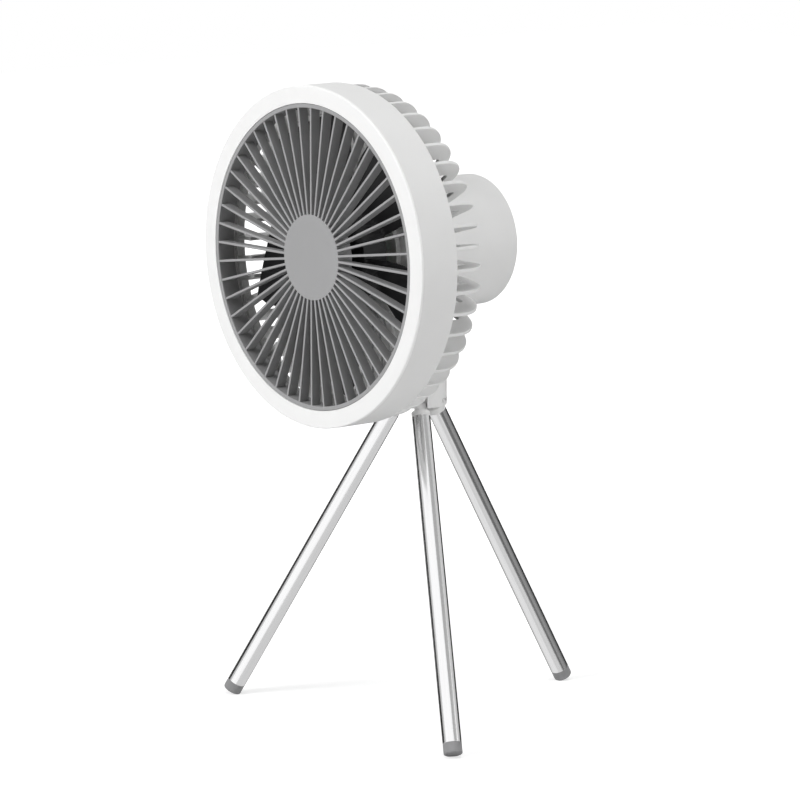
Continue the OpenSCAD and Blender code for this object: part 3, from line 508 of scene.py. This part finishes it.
def makeFloor():
    deselectAll()
    bpy.ops.mesh.primitive_plane_add(size=studio["floorSize"], location=(0, 0, 0))
    floor = bpy.context.object
    floor.name = "floor"
    applyPlace(floor)
    material, tree, shader = newMaterial("floorPaper", studio["floorColor"], 0.9)
    shader.inputs["Specular IOR Level"].default_value = 0.0
    path = tree.nodes.new("ShaderNodeLightPath")
    glow = tree.nodes.new("ShaderNodeEmission")
    place = tree.nodes.new("ShaderNodeTexCoord")
    distance = tree.nodes.new("ShaderNodeVectorMath")
    distance.operation = "LENGTH"
    fade = tree.nodes.new("ShaderNodeMapRange")
    near, far = studio["floorFade"]
    fade.inputs["From Min"].default_value = near
    fade.inputs["From Max"].default_value = far
    nearGlow, farGlow = studio["floorGlow"]
    fade.inputs["To Min"].default_value = nearGlow
    fade.inputs["To Max"].default_value = farGlow
    tree.links.new(place.outputs["Object"], distance.inputs[0])
    tree.links.new(distance.outputs["Value"], fade.inputs["Value"])
    tree.links.new(fade.outputs["Result"], glow.inputs["Strength"])
    blend = tree.nodes.new("ShaderNodeAddShader")
    choose = tree.nodes.new("ShaderNodeMixShader")
    output = tree.nodes["Material Output"]
    tree.links.new(shader.outputs["BSDF"], blend.inputs[0])
    tree.links.new(glow.outputs["Emission"], blend.inputs[1])
    tree.links.new(path.outputs["Is Camera Ray"], choose.inputs["Fac"])
    tree.links.new(shader.outputs["BSDF"], choose.inputs[1])
    tree.links.new(blend.outputs["Shader"], choose.inputs[2])
    tree.links.new(choose.outputs["Shader"], output.inputs["Surface"])
    floor.data.materials.append(material)
    floor.visible_glossy = False


def makeWorld():
    world = bpy.data.worlds.new("studioAir")
    bpy.context.scene.world = world
    world.use_nodes = True
    tree = world.node_tree
    tree.nodes.clear()
    output = tree.nodes.new("ShaderNodeOutputWorld")
    seen = tree.nodes.new("ShaderNodeBackground")
    seen.inputs["Strength"].default_value = 1.0
    light = tree.nodes.new("ShaderNodeBackground")
    light.inputs["Strength"].default_value = studio["airLight"]
    path = tree.nodes.new("ShaderNodeLightPath")
    either = tree.nodes.new("ShaderNodeMath")
    either.operation = "MAXIMUM"
    anyOf = tree.nodes.new("ShaderNodeMath")
    anyOf.operation = "MAXIMUM"
    choose = tree.nodes.new("ShaderNodeMixShader")
    for back in (seen, light):
        back.inputs["Color"].default_value = (1, 1, 1, 1)
    tree.links.new(path.outputs["Is Camera Ray"], either.inputs[0])
    tree.links.new(path.outputs["Is Glossy Ray"], either.inputs[1])
    tree.links.new(either.outputs["Value"], anyOf.inputs[0])
    tree.links.new(path.outputs["Is Transmission Ray"], anyOf.inputs[1])
    tree.links.new(anyOf.outputs["Value"], choose.inputs["Fac"])
    tree.links.new(light.outputs["Background"], choose.inputs[1])
    tree.links.new(seen.outputs["Background"], choose.inputs[2])
    tree.links.new(choose.outputs["Shader"], output.inputs["Surface"])


def makeLamp(name, spot, size, power):
    deselectAll()
    bpy.ops.object.light_add(type="AREA", location=spot)
    lamp = bpy.context.object
    lamp.name = name
    lamp.data.shape = "SQUARE"
    lamp.data.size = size
    lamp.data.energy = power
    lamp.visible_glossy = False
    lamp.rotation_euler = (Vector(studio["aim"]) - Vector(spot)).to_track_quat("-Z", "Y").to_euler()


def glossOnly(piece, brightness):
    # a board that glows evenly and that nothing but reflections can see
    material = bpy.data.materials.new(piece.name)
    material.use_nodes = True
    tree = material.node_tree
    tree.nodes.clear()
    board = tree.nodes.new("ShaderNodeEmission")
    board.inputs["Strength"].default_value = brightness
    output = tree.nodes.new("ShaderNodeOutputMaterial")
    tree.links.new(board.outputs["Emission"], output.inputs["Surface"])
    piece.data.materials.append(material)
    piece.visible_camera = False
    piece.visible_diffuse = False
    piece.visible_transmission = False
    piece.visible_shadow = False


def makeFlag(name, start, end, low, high, brightness):
    # a strip of a cylinder round the object, spun from one upright edge
    radius = studio["flagRadius"]
    facing = math.radians(cameraPlace["azimuth"] - 90 + start)
    foot = Vector((radius * math.cos(facing), radius * math.sin(facing),
                   studio["aim"][2] + radius * math.tan(math.radians(low))))
    lift = radius * (math.tan(math.radians(high)) - math.tan(math.radians(low)))
    flag = drawLine(name, [foot, foot + Vector((0, 0, lift))])
    bpy.ops.mesh.spin(steps=studio["flagSteps"], angle=math.radians(start - end),
                      center=(0, 0, 0), axis=(0, 0, 1))
    bpy.ops.object.mode_set(mode="OBJECT")
    glossOnly(flag, brightness)


def makeFloorFlag(name, side, away, radius, drop, brightness):
    facing = math.radians(cameraPlace["azimuth"] - 90 + side)
    deselectAll()
    bpy.ops.mesh.primitive_circle_add(
        vertices=studio["floorFlagSides"], radius=radius, fill_type="NGON",
        location=(away * math.cos(facing), away * math.sin(facing), studio["aim"][2] + drop))
    flag = bpy.context.object
    flag.name = name
    glossOnly(applyPlace(flag), brightness)


cameraPlace = {
    "spot": (1.77198, -1.43234 + faceY, 0.57582),
    "azimuth": 49.87,
    "elevation": 9.90,
    "lens": 198.31,
    "sensor": 36,
    "reach": 50,
}


def makeCamera():
    deselectAll()
    bpy.ops.object.camera_add(location=cameraPlace["spot"])
    camera = bpy.context.object
    camera.rotation_euler = (math.radians(90 - cameraPlace["elevation"]), 0,
                             math.radians(cameraPlace["azimuth"]))
    camera.data.lens = cameraPlace["lens"]
    camera.data.sensor_width = cameraPlace["sensor"]
    camera.data.clip_end = cameraPlace["reach"]
    bpy.context.scene.camera = camera


makeFloor()
makeWorld()
for name, (spot, size, power) in studio["lamps"].items():
    makeLamp(name, spot, size, power)
for name, (start, end, low, high, brightness) in studio["flags"].items():
    makeFlag(name, start, end, low, high, brightness)
for name, (side, away, radius, drop, brightness) in studio["floorFlags"].items():
    makeFloorFlag(name, side, away, radius, drop, brightness)
makeCamera()
bpy.context.scene.view_settings.view_transform = "Standard"
print("stage ready")


# light ring and band

grilleLow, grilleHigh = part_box("front_grille")
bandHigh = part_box("head_band")[1]
headR = headRadius / mm
rimR = (grilleHigh.x - grilleLow.x) / 2 / mm
skirtRear = (grilleHigh.y - faceY) / mm
bandRear = (bandHigh.y - faceY) / mm

ringShape = {
    "gap": 0.2, "thick": 1.6, "outerRound": 0.8, "innerRound": 0.3,
    "lipWidth": 0.8, "lipLength": 1.9, "lipInset": 1.8, "lipRound": 0.2, "backRound": 0.12,
}
bandShape = {
    "wall": 1.8, "trayWall": 1.6, "rearRound": 0.7, "frontRound": 0.2,
    "trayRound": 0.3, "trayRearRound": 0.2, "trayFrontRound": 0.1,
    "bosses": 4, "firstBoss": 41.25, "bossCircle": 84.05, "bossRadius": 2.6, "bossEnd": 19.8,
    "bossHole": 0.95, "bossEdge": 0.25,
}


def makeLightRing():
    s = ringShape
    inner = rimR + s["gap"]
    back = s["thick"]
    deep = back + s["lipLength"]
    tip = s["lipRound"]
    innerLip = inner + s["lipInset"]
    innerLipOut = innerLip + s["lipWidth"]
    outerLip = headR - bandShape["wall"] - s["gap"]
    outerLipIn = outerLip - s["lipWidth"]
    ring = turnedPiece("lightRing", [
        (inner, 0, s["innerRound"]), (headR, 0, s["outerRound"]), (headR, back, s["backRound"]),
        (outerLip, back, 0), (outerLip, deep, tip), (outerLipIn, deep, tip),
        (outerLipIn, back, 0), (innerLipOut, back, 0),
        (innerLipOut, deep, tip), (innerLip, deep, tip), (innerLip, back, 0), (inner, back, 0),
    ], wideSteps)
    intoHead(ring)
    finishPiece(ring, diffuser, "head", "diffuser", "light_ring")


def makeHeadBand():
    s = bandShape
    front = ringShape["thick"]
    inner = headR - s["wall"]
    low = rimR + ringShape["gap"]
    lowIn = low + s["trayWall"]
    floorFront = skirtRear - s["trayWall"]
    bend, lip = s["trayRound"], s["trayFrontRound"]
    band = turnedPiece("headBand", [
        (headR, front, s["frontRound"]), (headR, bandRear, s["rearRound"]),
        (inner, bandRear, bend), (inner, skirtRear, bend),
        (low, skirtRear, s["trayRearRound"]), (low, front, lip),
        (lowIn, front, lip), (lowIn, floorFront, bend),
        (inner, floorFront, bend), (inner, front, lip),
    ], wideSteps)
    post = roundBar("bandPost", s["bossRadius"], s["bossEnd"] - floorFront, (0, 0, floorFront),
                    postSides)
    softEdges(post, s["bossEdge"], 2)
    cutWith(post, roundBar("postHole", s["bossHole"], s["bossEnd"], (0, 0, skirtRear), boreSides))
    outTo(post, s["bossCircle"], s["firstBoss"])
    repeatAround(post, s["bosses"])
    joinAll(band, post)
    intoHead(band)
    finishPiece(band, whitePlastic, "head", "white_plastic", "head_band")


makeLightRing()
makeHeadBand()
print("light ring and band made")


# front grille

grilleShape = {
    "rimWidth": 2.1, "rimFront": 0.2, "rimRound": 0.35, "rimRearRound": 0.2, "rimInnerRound": 0.3,
    "vanes": 48, "vaneFront": 0.5, "vaneDepth": 6.0, "vaneWidth": 1.3, "vaneRearWidth": 0.9,
    "vaneRound": 0.32, "vaneRearRound": 0.2,
    "vaneRoot": 0.25,                     # how far a vane reaches into the disc
    "discRadius": 22.5, "discThick": 1.8, "discRound": 0.35, "discInnerRound": 0.5,
    "collarDepth": 10.0, "collarRound": 0.3, "discSteps": 128,
}


def makeFrontGrille():
    s = grilleShape
    rimIn = rimR - s["rimWidth"]
    front = s["vaneFront"]
    half, rearHalf = s["vaneWidth"] / 2, s["vaneRearWidth"] / 2
    length = rimIn - s["discRadius"] + s["rimWidth"] / 2 + s["vaneRoot"]
    vane = platePiece("vane", [
        (-half, front, s["vaneRound"]), (half, front, s["vaneRound"]),
        (rearHalf, front + s["vaneDepth"], s["vaneRearRound"]),
        (-rearHalf, front + s["vaneDepth"], s["vaneRearRound"]),
    ], length, 3, "YZ")
    vane.location = ((s["discRadius"] - s["vaneRoot"] + length / 2) * mm, 0, 0)
    applyPlace(vane)
    repeatAround(vane, s["vanes"])
    rim = turnedPiece("frontGrille", [
        (rimR, s["rimFront"], s["rimRound"]), (rimR, skirtRear, s["rimRearRound"]),
        (rimIn, skirtRear, s["rimInnerRound"]), (rimIn, s["rimFront"], s["rimRound"]),
    ], wideSteps)
    collarIn = s["discRadius"] - s["discThick"]
    disc = turnedPiece("disc", [
        (0, front, 0), (s["discRadius"], front, s["discRound"]),
        (s["discRadius"], s["collarDepth"], s["collarRound"]),
        (collarIn, s["collarDepth"], s["collarRound"]),
        (collarIn, front + s["discThick"], s["discInnerRound"]),
        (0, front + s["discThick"], 0),
    ], s["discSteps"])
    joinAll(rim, vane, disc)
    intoHead(rim)
    finishPiece(rim, grayPlastic, "head", "gray_plastic", "front_grille")


makeFrontGrille()
print("front grille made")


# rear guard

guardShape = {
    "fins": 48, "finThick": 1.9, "finEdge": 0.6, "finRoot": 33.6, "finInside": 42.5,
    "finOuter": 88.8, "finCorner": 16.8, "finInner": 76.0, "innerCorner": 2.0, "finFoot": 0.8,
    "finStep": 0.3, "shoulder": 24.4, "shoulderRadius": 87.5, "shoulderRound": 0.35,
    "rimOuter": 88.1, "rimInner": 86.9, "rimFront": 19.9, "rimRear": 24.9, "rimRound": 0.2,
    "seatOuter": 36.6, "seatInner": 32.1, "seatFront": 43.5, "seatFloor": 3.0, "seatHole": 5.6,
    "seatRound": 0.5, "seatCorner": 0.8, "seatEdge": 0.2, "seatSteps": 128,
    "motorScrews": 3, "firstMotorScrew": 30, "screwCircle": 18.0, "screwHole": 1.05,
    "podScrews": 4, "firstPodScrew": 45, "podCircle": 27.5, "podBoss": 2.6, "podHole": 0.85,
    "bossFloor": 1.0,
    "tabs": 4, "tabWidth": 7.0, "tabStart": 81.2, "tabEnd": 87.5, "tabThick": 2.0,
    "tabCorner": 1.5, "tabHoleStart": 16, "edge": 0.2,
}


def makeFin(rear):
    s = guardShape
    back = rear - s["finStep"]
    front = s["rimFront"] + s["finStep"]
    fin = platePiece("fin", [
        (s["finRoot"], s["finInside"], 0), (s["finRoot"], back, 0),
        (s["finOuter"], back, s["finCorner"]), (s["finOuter"], s["shoulder"], s["shoulderRound"]),
        (s["shoulderRadius"], s["shoulder"], 0), (s["shoulderRadius"], front, 0),
        (s["finInner"], front, s["finFoot"]), (s["finInner"], s["finInside"], s["innerCorner"]),
    ], s["finThick"], 12)
    softEdges(fin, s["finEdge"], 3)
    return repeatAround(fin, s["fins"])


def makeSeat(rear):
    s = guardShape
    floor = s["seatFront"] + s["seatFloor"]
    seat = turnedPiece("motorSeat", [
        (s["seatHole"], s["seatFront"], s["seatEdge"]),
        (s["seatOuter"], s["seatFront"], s["seatRound"]),
        (s["seatOuter"], rear, s["seatEdge"]), (s["seatInner"], rear, s["seatEdge"]),
        (s["seatInner"], floor, s["seatCorner"]), (s["seatHole"], floor, s["seatEdge"]),
    ], s["seatSteps"])
    hole = roundBar("screwHole", s["screwHole"], wallCut, (0, 0, s["seatFront"] - cutLead),
                    boreSides)
    outTo(hole, s["screwCircle"], s["firstMotorScrew"])
    return cutWith(seat, repeatAround(hole, s["motorScrews"]))


def makeSeatBosses(rear):
    s = guardShape
    boss = roundBar("podBoss", s["podBoss"], rear - s["seatFront"], (0, 0, s["seatFront"]),
                    postSides)
    softEdges(boss, s["edge"], 2)
    cutWith(boss, roundBar("bossHole", s["podHole"], bossCut,
                           (0, 0, s["seatFront"] + s["bossFloor"]), boreSides))
    outTo(boss, s["podCircle"], s["firstPodScrew"])
    return repeatAround(boss, s["podScrews"])


def makeTabs():
    s = guardShape
    half = s["tabWidth"] / 2
    tab = platePiece("screwTab", [
        (s["tabStart"], -half, s["tabCorner"]), (s["tabEnd"], -half, 0),
        (s["tabEnd"], half, 0), (s["tabStart"], half, s["tabCorner"]),
    ], s["tabThick"], 4, "XY")
    tab.location = (0, 0, (s["rimFront"] + s["tabThick"] / 2) * mm)
    applyPlace(tab)
    softEdges(tab, s["edge"], 2)
    cutWith(tab, roundBar("tabHole", s["screwHole"], wallCut,
                          (bandShape["bossCircle"], 0, s["tabHoleStart"]), boreSides))
    turnAbout(tab, bandShape["firstBoss"])
    return repeatAround(tab, s["tabs"])


def makeRearGuard():
    s = guardShape
    rear = guardRear / mm
    fin = makeFin(rear)
    rim = turnedPiece("rearGuard", [
        (s["rimOuter"], s["rimFront"], s["rimRound"]), (s["rimOuter"], s["rimRear"], s["rimRound"]),
        (s["rimInner"], s["rimRear"], s["rimRound"]), (s["rimInner"], s["rimFront"], s["rimRound"]),
    ], wideSteps)
    joinAll(rim, fin, makeSeat(rear), makeSeatBosses(rear), makeTabs())
    intoHead(rim)
    finishPiece(rim, whitePlastic, "head", "white_plastic", "rear_guard")


makeRearGuard()
print("rear guard made")


# impeller

def makeImpeller():
    # the blades keep the CAD's airfoil: a merged copy of its mesh is shaded smooth
    deselectAll()
    wheel = bpy.data.objects.new("impellerWheel", nodes["impeller"].data.copy())
    bpy.context.scene.collection.objects.link(wheel)
    cleanMesh(wheel)
    finishPiece(wheel, blackPlastic, "rotor", "black_plastic", "impeller")


makeImpeller()
print("impeller made")


# battery pod with its rear cover

tiltPin = jointSpot("head_tilt")
podR = (podHigh.x - podLow.x) / 2 / mm
podShape = {
    "wall": 2.2, "rearRound": 1.6, "rearInnerRound": 0.35, "frontRound": 0.4, "cornerRound": 0.8,
    "wireHole": 4.0, "holeRound": 0.2, "screwCircle": 27.5, "screwHole": 0.95,
    "bosses": 3, "firstBoss": -90, "bossRadius": 3.2, "bossCircle": 30.1, "bossLength": 12.0,
    "bossHole": 0.85, "bossEdge": 0.2, "bossFloor": 1.0,
    "earWidth": 4.0, "earInside": 6.9, "earRadius": 8.0, "earReach": 1.6, "earEdge": 0.5,
    "pinRadius": 2.54, "steps": 160,
}
coverShape = {
    "recess": 0.6, "thick": 2.2, "gap": 0.2, "edge": 0.3,
    "buttonRadius": 4.4, "buttonGap": 0.2, "buttonOff": 11.0, "buttonRound": 0.6,
    "proud": 0.8, "dish": 0.25, "dishWidth": 0.55, "dishSlope": 0.6, "dishRound": 1.2,
    "flangeWidth": 1.0, "flangeThick": 0.6, "flangeGap": 0.3, "flangeRound": 0.1,
    "flangeTopRound": 0.15,
    "lensLength": 14.0, "lensHeight": 2.6, "lensUp": 13.0, "lensGap": 0.05,
    "socketLength": 8.9, "socketHeight": 3.2, "socketDown": 15.0, "socketGap": 0.2,
    "screwHole": 0.95, "screwHead": 2.2, "screwSink": 1.2,
    "posts": 3, "firstPost": 30, "postRadius": 2.2, "postCircle": 19.6, "postSink": 0.5,
    "boardRear": 108.0, "steps": 144, "holeSteps": 64, "buttonSteps": 96,
}


def slotBar(name, length, height, depth, spot):
    # a bar with half-round ends along X, to cut a slot with
    x, y = length / 2, height / 2
    end = y - slotGap
    bar = platePiece(name, [(-x, -y, end), (x, -y, end), (x, y, end), (-x, y, end)], depth, 8, "XY")
    bar.location = (spot[0] * mm, spot[1] * mm, (spot[2] + depth / 2) * mm)
    return applyPlace(bar)


def addEars(shell):
    s = podShape
    r = s["earRadius"]
    top = (headHeight - tiltPin.z) / mm - podR + s["earReach"]
    for side in (-1, 1):
        ear = platePiece(f"ear{side}", [
            (-r, top, 0), (r, top, 0), (r, -r, r - arcGap), (-r, -r, r - arcGap),
        ], s["earWidth"], 14, "YZ")
        softEdges(ear, s["earEdge"], 3)
        bore = roundBar("earBore", s["pinRadius"], crossCut, (0, 0, -crossCut / 2), postSides)
        bore.rotation_euler = (0, math.pi / 2, 0)
        cutWith(ear, applyPlace(bore))
        ear.location = tiltPin + Vector((side * (s["earInside"] + s["earWidth"] / 2) * mm, 0, 0))
        joinAll(shell, applyPlace(ear))


def makePod():
    s = podShape
    front, rear = guardRear / mm, podRear / mm
    inside = podR - s["wall"]
    shell = turnedPiece("podShell", [
        (s["wireHole"], front, s["holeRound"]), (podR, front, s["frontRound"]),
        (podR, rear, s["rearRound"]), (inside, rear, s["rearInnerRound"]),
        (inside, front + s["wall"], s["cornerRound"]),
        (s["wireHole"], front + s["wall"], s["holeRound"]),
    ], s["steps"], 8)
    hole = roundBar("podHole", s["screwHole"], wallCut, (s["screwCircle"], 0, front - cutLead),
                    boreSides)
    turnAbout(hole, guardShape["firstPodScrew"])
    cutWith(shell, repeatAround(hole, guardShape["podScrews"]))
    bossFront = rear - coverShape["recess"] - coverShape["thick"] - s["bossLength"]
    boss = roundBar("coverBoss", s["bossRadius"], s["bossLength"], (s["bossCircle"], 0, bossFront),
                    postSides)
    softEdges(boss, s["bossEdge"], 2)
    cutWith(boss, roundBar("bossHole", s["bossHole"], bossCut,
                           (s["bossCircle"], 0, bossFront + s["bossFloor"]), boreSides))
    turnAbout(boss, s["firstBoss"])
    joinAll(shell, repeatAround(boss, s["bosses"]))
    intoHead(shell)
    addEars(shell)
    finishPiece(shell, whitePlastic, "head", "white_plastic", "pod_shell")


def makeRearCover():
    s = coverShape
    rear = podRear / mm - s["recess"]
    front = rear - s["thick"]
    radius = podR - podShape["wall"] - s["gap"]
    start = front - cutLead
    plate = roundBar("rearCover", radius, s["thick"], (0, 0, front), s["steps"])
    for side in (-1, 1):
        cutWith(plate, roundBar("buttonHole", s["buttonRadius"] + s["buttonGap"], wallCut,
                                (side * s["buttonOff"], 0, start), s["holeSteps"]))
    lensGap, socketGap = 2 * s["lensGap"], 2 * s["socketGap"]
    cutWith(plate,
            slotBar("lensHole", s["lensLength"] + lensGap, s["lensHeight"] + lensGap, wallCut,
                    (0, -s["lensUp"], start)),
            slotBar("socketHole", s["socketLength"] + socketGap, s["socketHeight"] + socketGap,
                    wallCut, (0, s["socketDown"], start)))
    circle = podShape["bossCircle"]
    for number in range(podShape["bosses"]):
        turn = podShape["firstBoss"] + number * 360 / podShape["bosses"]
        bore = roundBar("screwHole", s["screwHole"], wallCut, (circle, 0, start), boreSides)
        sink = roundBar("screwSink", s["screwHead"], wallCut, (circle, 0, rear - s["screwSink"]),
                        postSides)
        cutWith(plate, turnAbout(bore, turn), turnAbout(sink, turn))
    softEdges(plate, s["edge"], 3)
    post = roundBar("boardPost", s["postRadius"], front - s["boardRear"] + s["postSink"],
                    (s["postCircle"], 0, s["boardRear"]), postSides)
    turnAbout(post, s["firstPost"])
    joinAll(plate, repeatAround(post, s["posts"]))
    intoHead(plate)
    finishPiece(plate, whitePlastic, "head", "white_plastic", "rear_cover")


def makeButton(name, body, side):
    s = coverShape
    rear = podRear / mm - s["recess"]
    step = rear - s["thick"] - s["flangeGap"]
    base = step - s["flangeThick"]
    r = s["buttonRadius"]
    flange = r + s["flangeWidth"]
    top = rear + s["proud"]
    button = turnedPiece(name, [
        (0, base, 0), (flange, base, s["flangeRound"]), (flange, step, s["flangeTopRound"]),
        (r, step, 0), (r, top, s["buttonRound"]),
        (r * s["dishWidth"], top - s["dish"] * s["dishSlope"], s["dishRound"]),
        (0, top - s["dish"], 0),
    ], s["buttonSteps"])
    button.location = (side * s["buttonOff"] * mm, 0, 0)
    applyPlace(button)
    intoHead(button)
    finishPiece(button, buttonPlastic, body, "gray_plastic", body)


makePod()
makeRearCover()
makeButton("powerButton", "power_button", -1)
makeButton("lightButton", "light_button", 1)
print("pod, cover and buttons made")


# tripod hub

legPins = [jointSpot(f"leg_{k}_fold") for k in (1, 2, 3)]
hubCentre = Vector((0, (hubHigh.y + hubLow.y) / 2, 0))
pinHeight = legPins[0].z
hubShape = {
    "height": 17.9, "edge": 1.2, "foot": 0.35, "slotEdge": 0.25,
    "slotWidth": 6.4, "slotStart": 6.66, "slotRoof": 3.2, "slotReach": 20, "slotBelow": 4,
    "pinHole": 1.3, "tongueWidth": 12.0, "tongueRadius": 8.0, "tongueEdge": 0.5, "tongueSink": 1.0,
    "steps": 96,
}


def makeHub():
    s = hubShape
    radius = (hubHigh.x - hubLow.x) / 2 / mm
    bottom = hubLow.z / mm
    top = bottom + s["height"]
    hub = turnedPiece("tripodHub", [
        (0, bottom, 0), (radius, bottom, s["foot"]), (radius, top, s["edge"]), (0, top, 0),
    ], s["steps"])
    roof = pinHeight / mm + s["slotRoof"]
    below = s["slotBelow"]
    pinCircle = math.hypot(*(legPins[1] - hubCentre).xy)
    for azimuth in legAzimuths:
        deselectAll()
        bpy.ops.mesh.primitive_cube_add(size=1)
        slot = bpy.context.object
        slot.scale = (s["slotReach"] * mm, s["slotWidth"] * mm, (roof - bottom + below) * mm)
        slot.location = ((s["slotStart"] + s["slotReach"] / 2) * mm, 0,
                         (roof + bottom - below) / 2 * mm)
        applyPlace(slot)
        hole = roundBar("pinHole", s["pinHole"], 2 * radius, (0, 0, -radius))
        hole.rotation_euler = (math.pi / 2, 0, 0)
        hole.location = (pinCircle, 0, pinHeight)
        applyPlace(hole)
        turn = math.degrees(azimuth)
        cutWith(hub, turnAbout(slot, turn), turnAbout(hole, turn))
    softEdges(hub, s["slotEdge"], 2, 50)
    hub.location = hubCentre
    applyPlace(hub)
    r = s["tongueRadius"]
    low = top - tiltPin.z / mm - s["tongueSink"]
    tongue = platePiece("hubTongue", [
        (-r, low, 0), (r, low, 0), (r, r, r - arcGap), (-r, r, r - arcGap),
    ], s["tongueWidth"], 14, "YZ")
    softEdges(tongue, s["tongueEdge"], 3)
    tongue.location = tiltPin
    applyPlace(tongue)
    joinAll(hub, tongue)
    finishPiece(hub, whitePlastic, "hub", "white_plastic", "tripod_hub")


makeHub()
print("tripod hub made")


# legs

legShape = {
    "radius": 5.0, "wall": 0.8, "length": 195.4, "seam": 0.15, "boreRound": 0.1,
    "tongue": 2.8, "tongueWidth": 5.6, "tongueEdge": 0.35, "tongueReach": 0.6, "bore": 1.29,
    "collarTop": 6.2, "collar": 3.1, "collarRound": 0.5,
    "plugRadius": 4.15, "plug": 12.0, "plugRound": 0.4,
    "foot": 5.8, "footRound": 0.8, "footPlug": 10.0, "steps": 72, "tubeSteps": 96,
}


def legPlace(azimuth, pin):
    return (Matrix.Translation(pin) @ Matrix.Rotation(azimuth, 4, "Z")
            @ Matrix.Rotation(-legSplay, 4, "Y"))


def standLeg(piece, azimuth, pin):
    piece.matrix_world = legPlace(azimuth, pin)
    return applyPlace(piece)


def makeKnuckle(number, azimuth, pin):
    s = legShape
    top = -s["collarTop"]
    low = top - s["collar"]
    end = low - s["plug"]
    knuckle = turnedPiece(f"legKnuckle{number}", [
        (0, top, 0), (s["radius"], top, s["collarRound"]), (s["radius"], low, s["seam"]),
        (s["plugRadius"], low, 0), (s["plugRadius"], end, s["plugRound"]), (0, end, 0),
    ], s["steps"])
    r = s["tongue"]
    root = top - s["tongueReach"]
    tongue = platePiece("legTongue", [
        (-r, r, r - arcGap), (r, r, r - arcGap), (r, root, 0), (-r, root, 0),
    ], s["tongueWidth"], 12, "XZ")
    softEdges(tongue, s["tongueEdge"], 3)
    bore = roundBar("tongueBore", s["bore"], crossCut, (0, 0, -crossCut / 2))
    bore.rotation_euler = (math.pi / 2, 0, 0)
    cutWith(tongue, applyPlace(bore))
    joinAll(knuckle, tongue)
    standLeg(knuckle, azimuth, pin)
    finishPiece(knuckle, whitePlastic, f"leg_{number}", "white_plastic", f"leg_knuckle_{number}")


def makeTube(number, azimuth, pin):
    s = legShape
    top = -s["collarTop"] - s["collar"]
    low = -s["length"] + s["foot"]
    inside = s["radius"] - s["wall"]
    tube = turnedPiece(f"legTube{number}", [
        (s["radius"], top, s["seam"]), (s["radius"], low, s["seam"]),
        (inside, low, s["boreRound"]), (inside, top, s["boreRound"]),
    ], s["tubeSteps"], 3)
    standLeg(tube, azimuth, pin)
    finishPiece(tube, legMetals[number - 1], f"leg_{number}", "leg_aluminium",
                f"leg_tube_{number}")


def makeFoot(number, azimuth, pin):
    s = legShape
    seam = -s["length"] + s["foot"]
    cap = turnedPiece(f"footCap{number}", [
        (0, -s["length"], 0), (s["radius"], -s["length"], s["footRound"]),
        (s["radius"], seam, s["seam"]), (s["plugRadius"], seam, 0),
        (s["plugRadius"], seam + s["footPlug"], s["plugRound"]), (0, seam + s["footPlug"], 0),
    ], s["steps"])
    standLeg(cap, azimuth, pin)
    # the sole is cut at the floor: points within 0.1 mm of it count as on it and stay
    pick(cap)
    bpy.ops.object.mode_set(mode="EDIT")
    bpy.ops.mesh.select_all(action="SELECT")
    bpy.ops.mesh.bisect(plane_co=(0, 0, 0), plane_no=(0, 0, 1), use_fill=True, clear_inner=True)
    bpy.ops.object.mode_set(mode="OBJECT")
    finishPiece(cap, footRubber, f"leg_{number}", "foot_rubber", f"foot_cap_{number}")


for number, (azimuth, pin) in enumerate(zip(legAzimuths, legPins), 1):
    makeKnuckle(number, azimuth, pin)
    makeTube(number, azimuth, pin)
    makeFoot(number, azimuth, pin)
print("legs made")
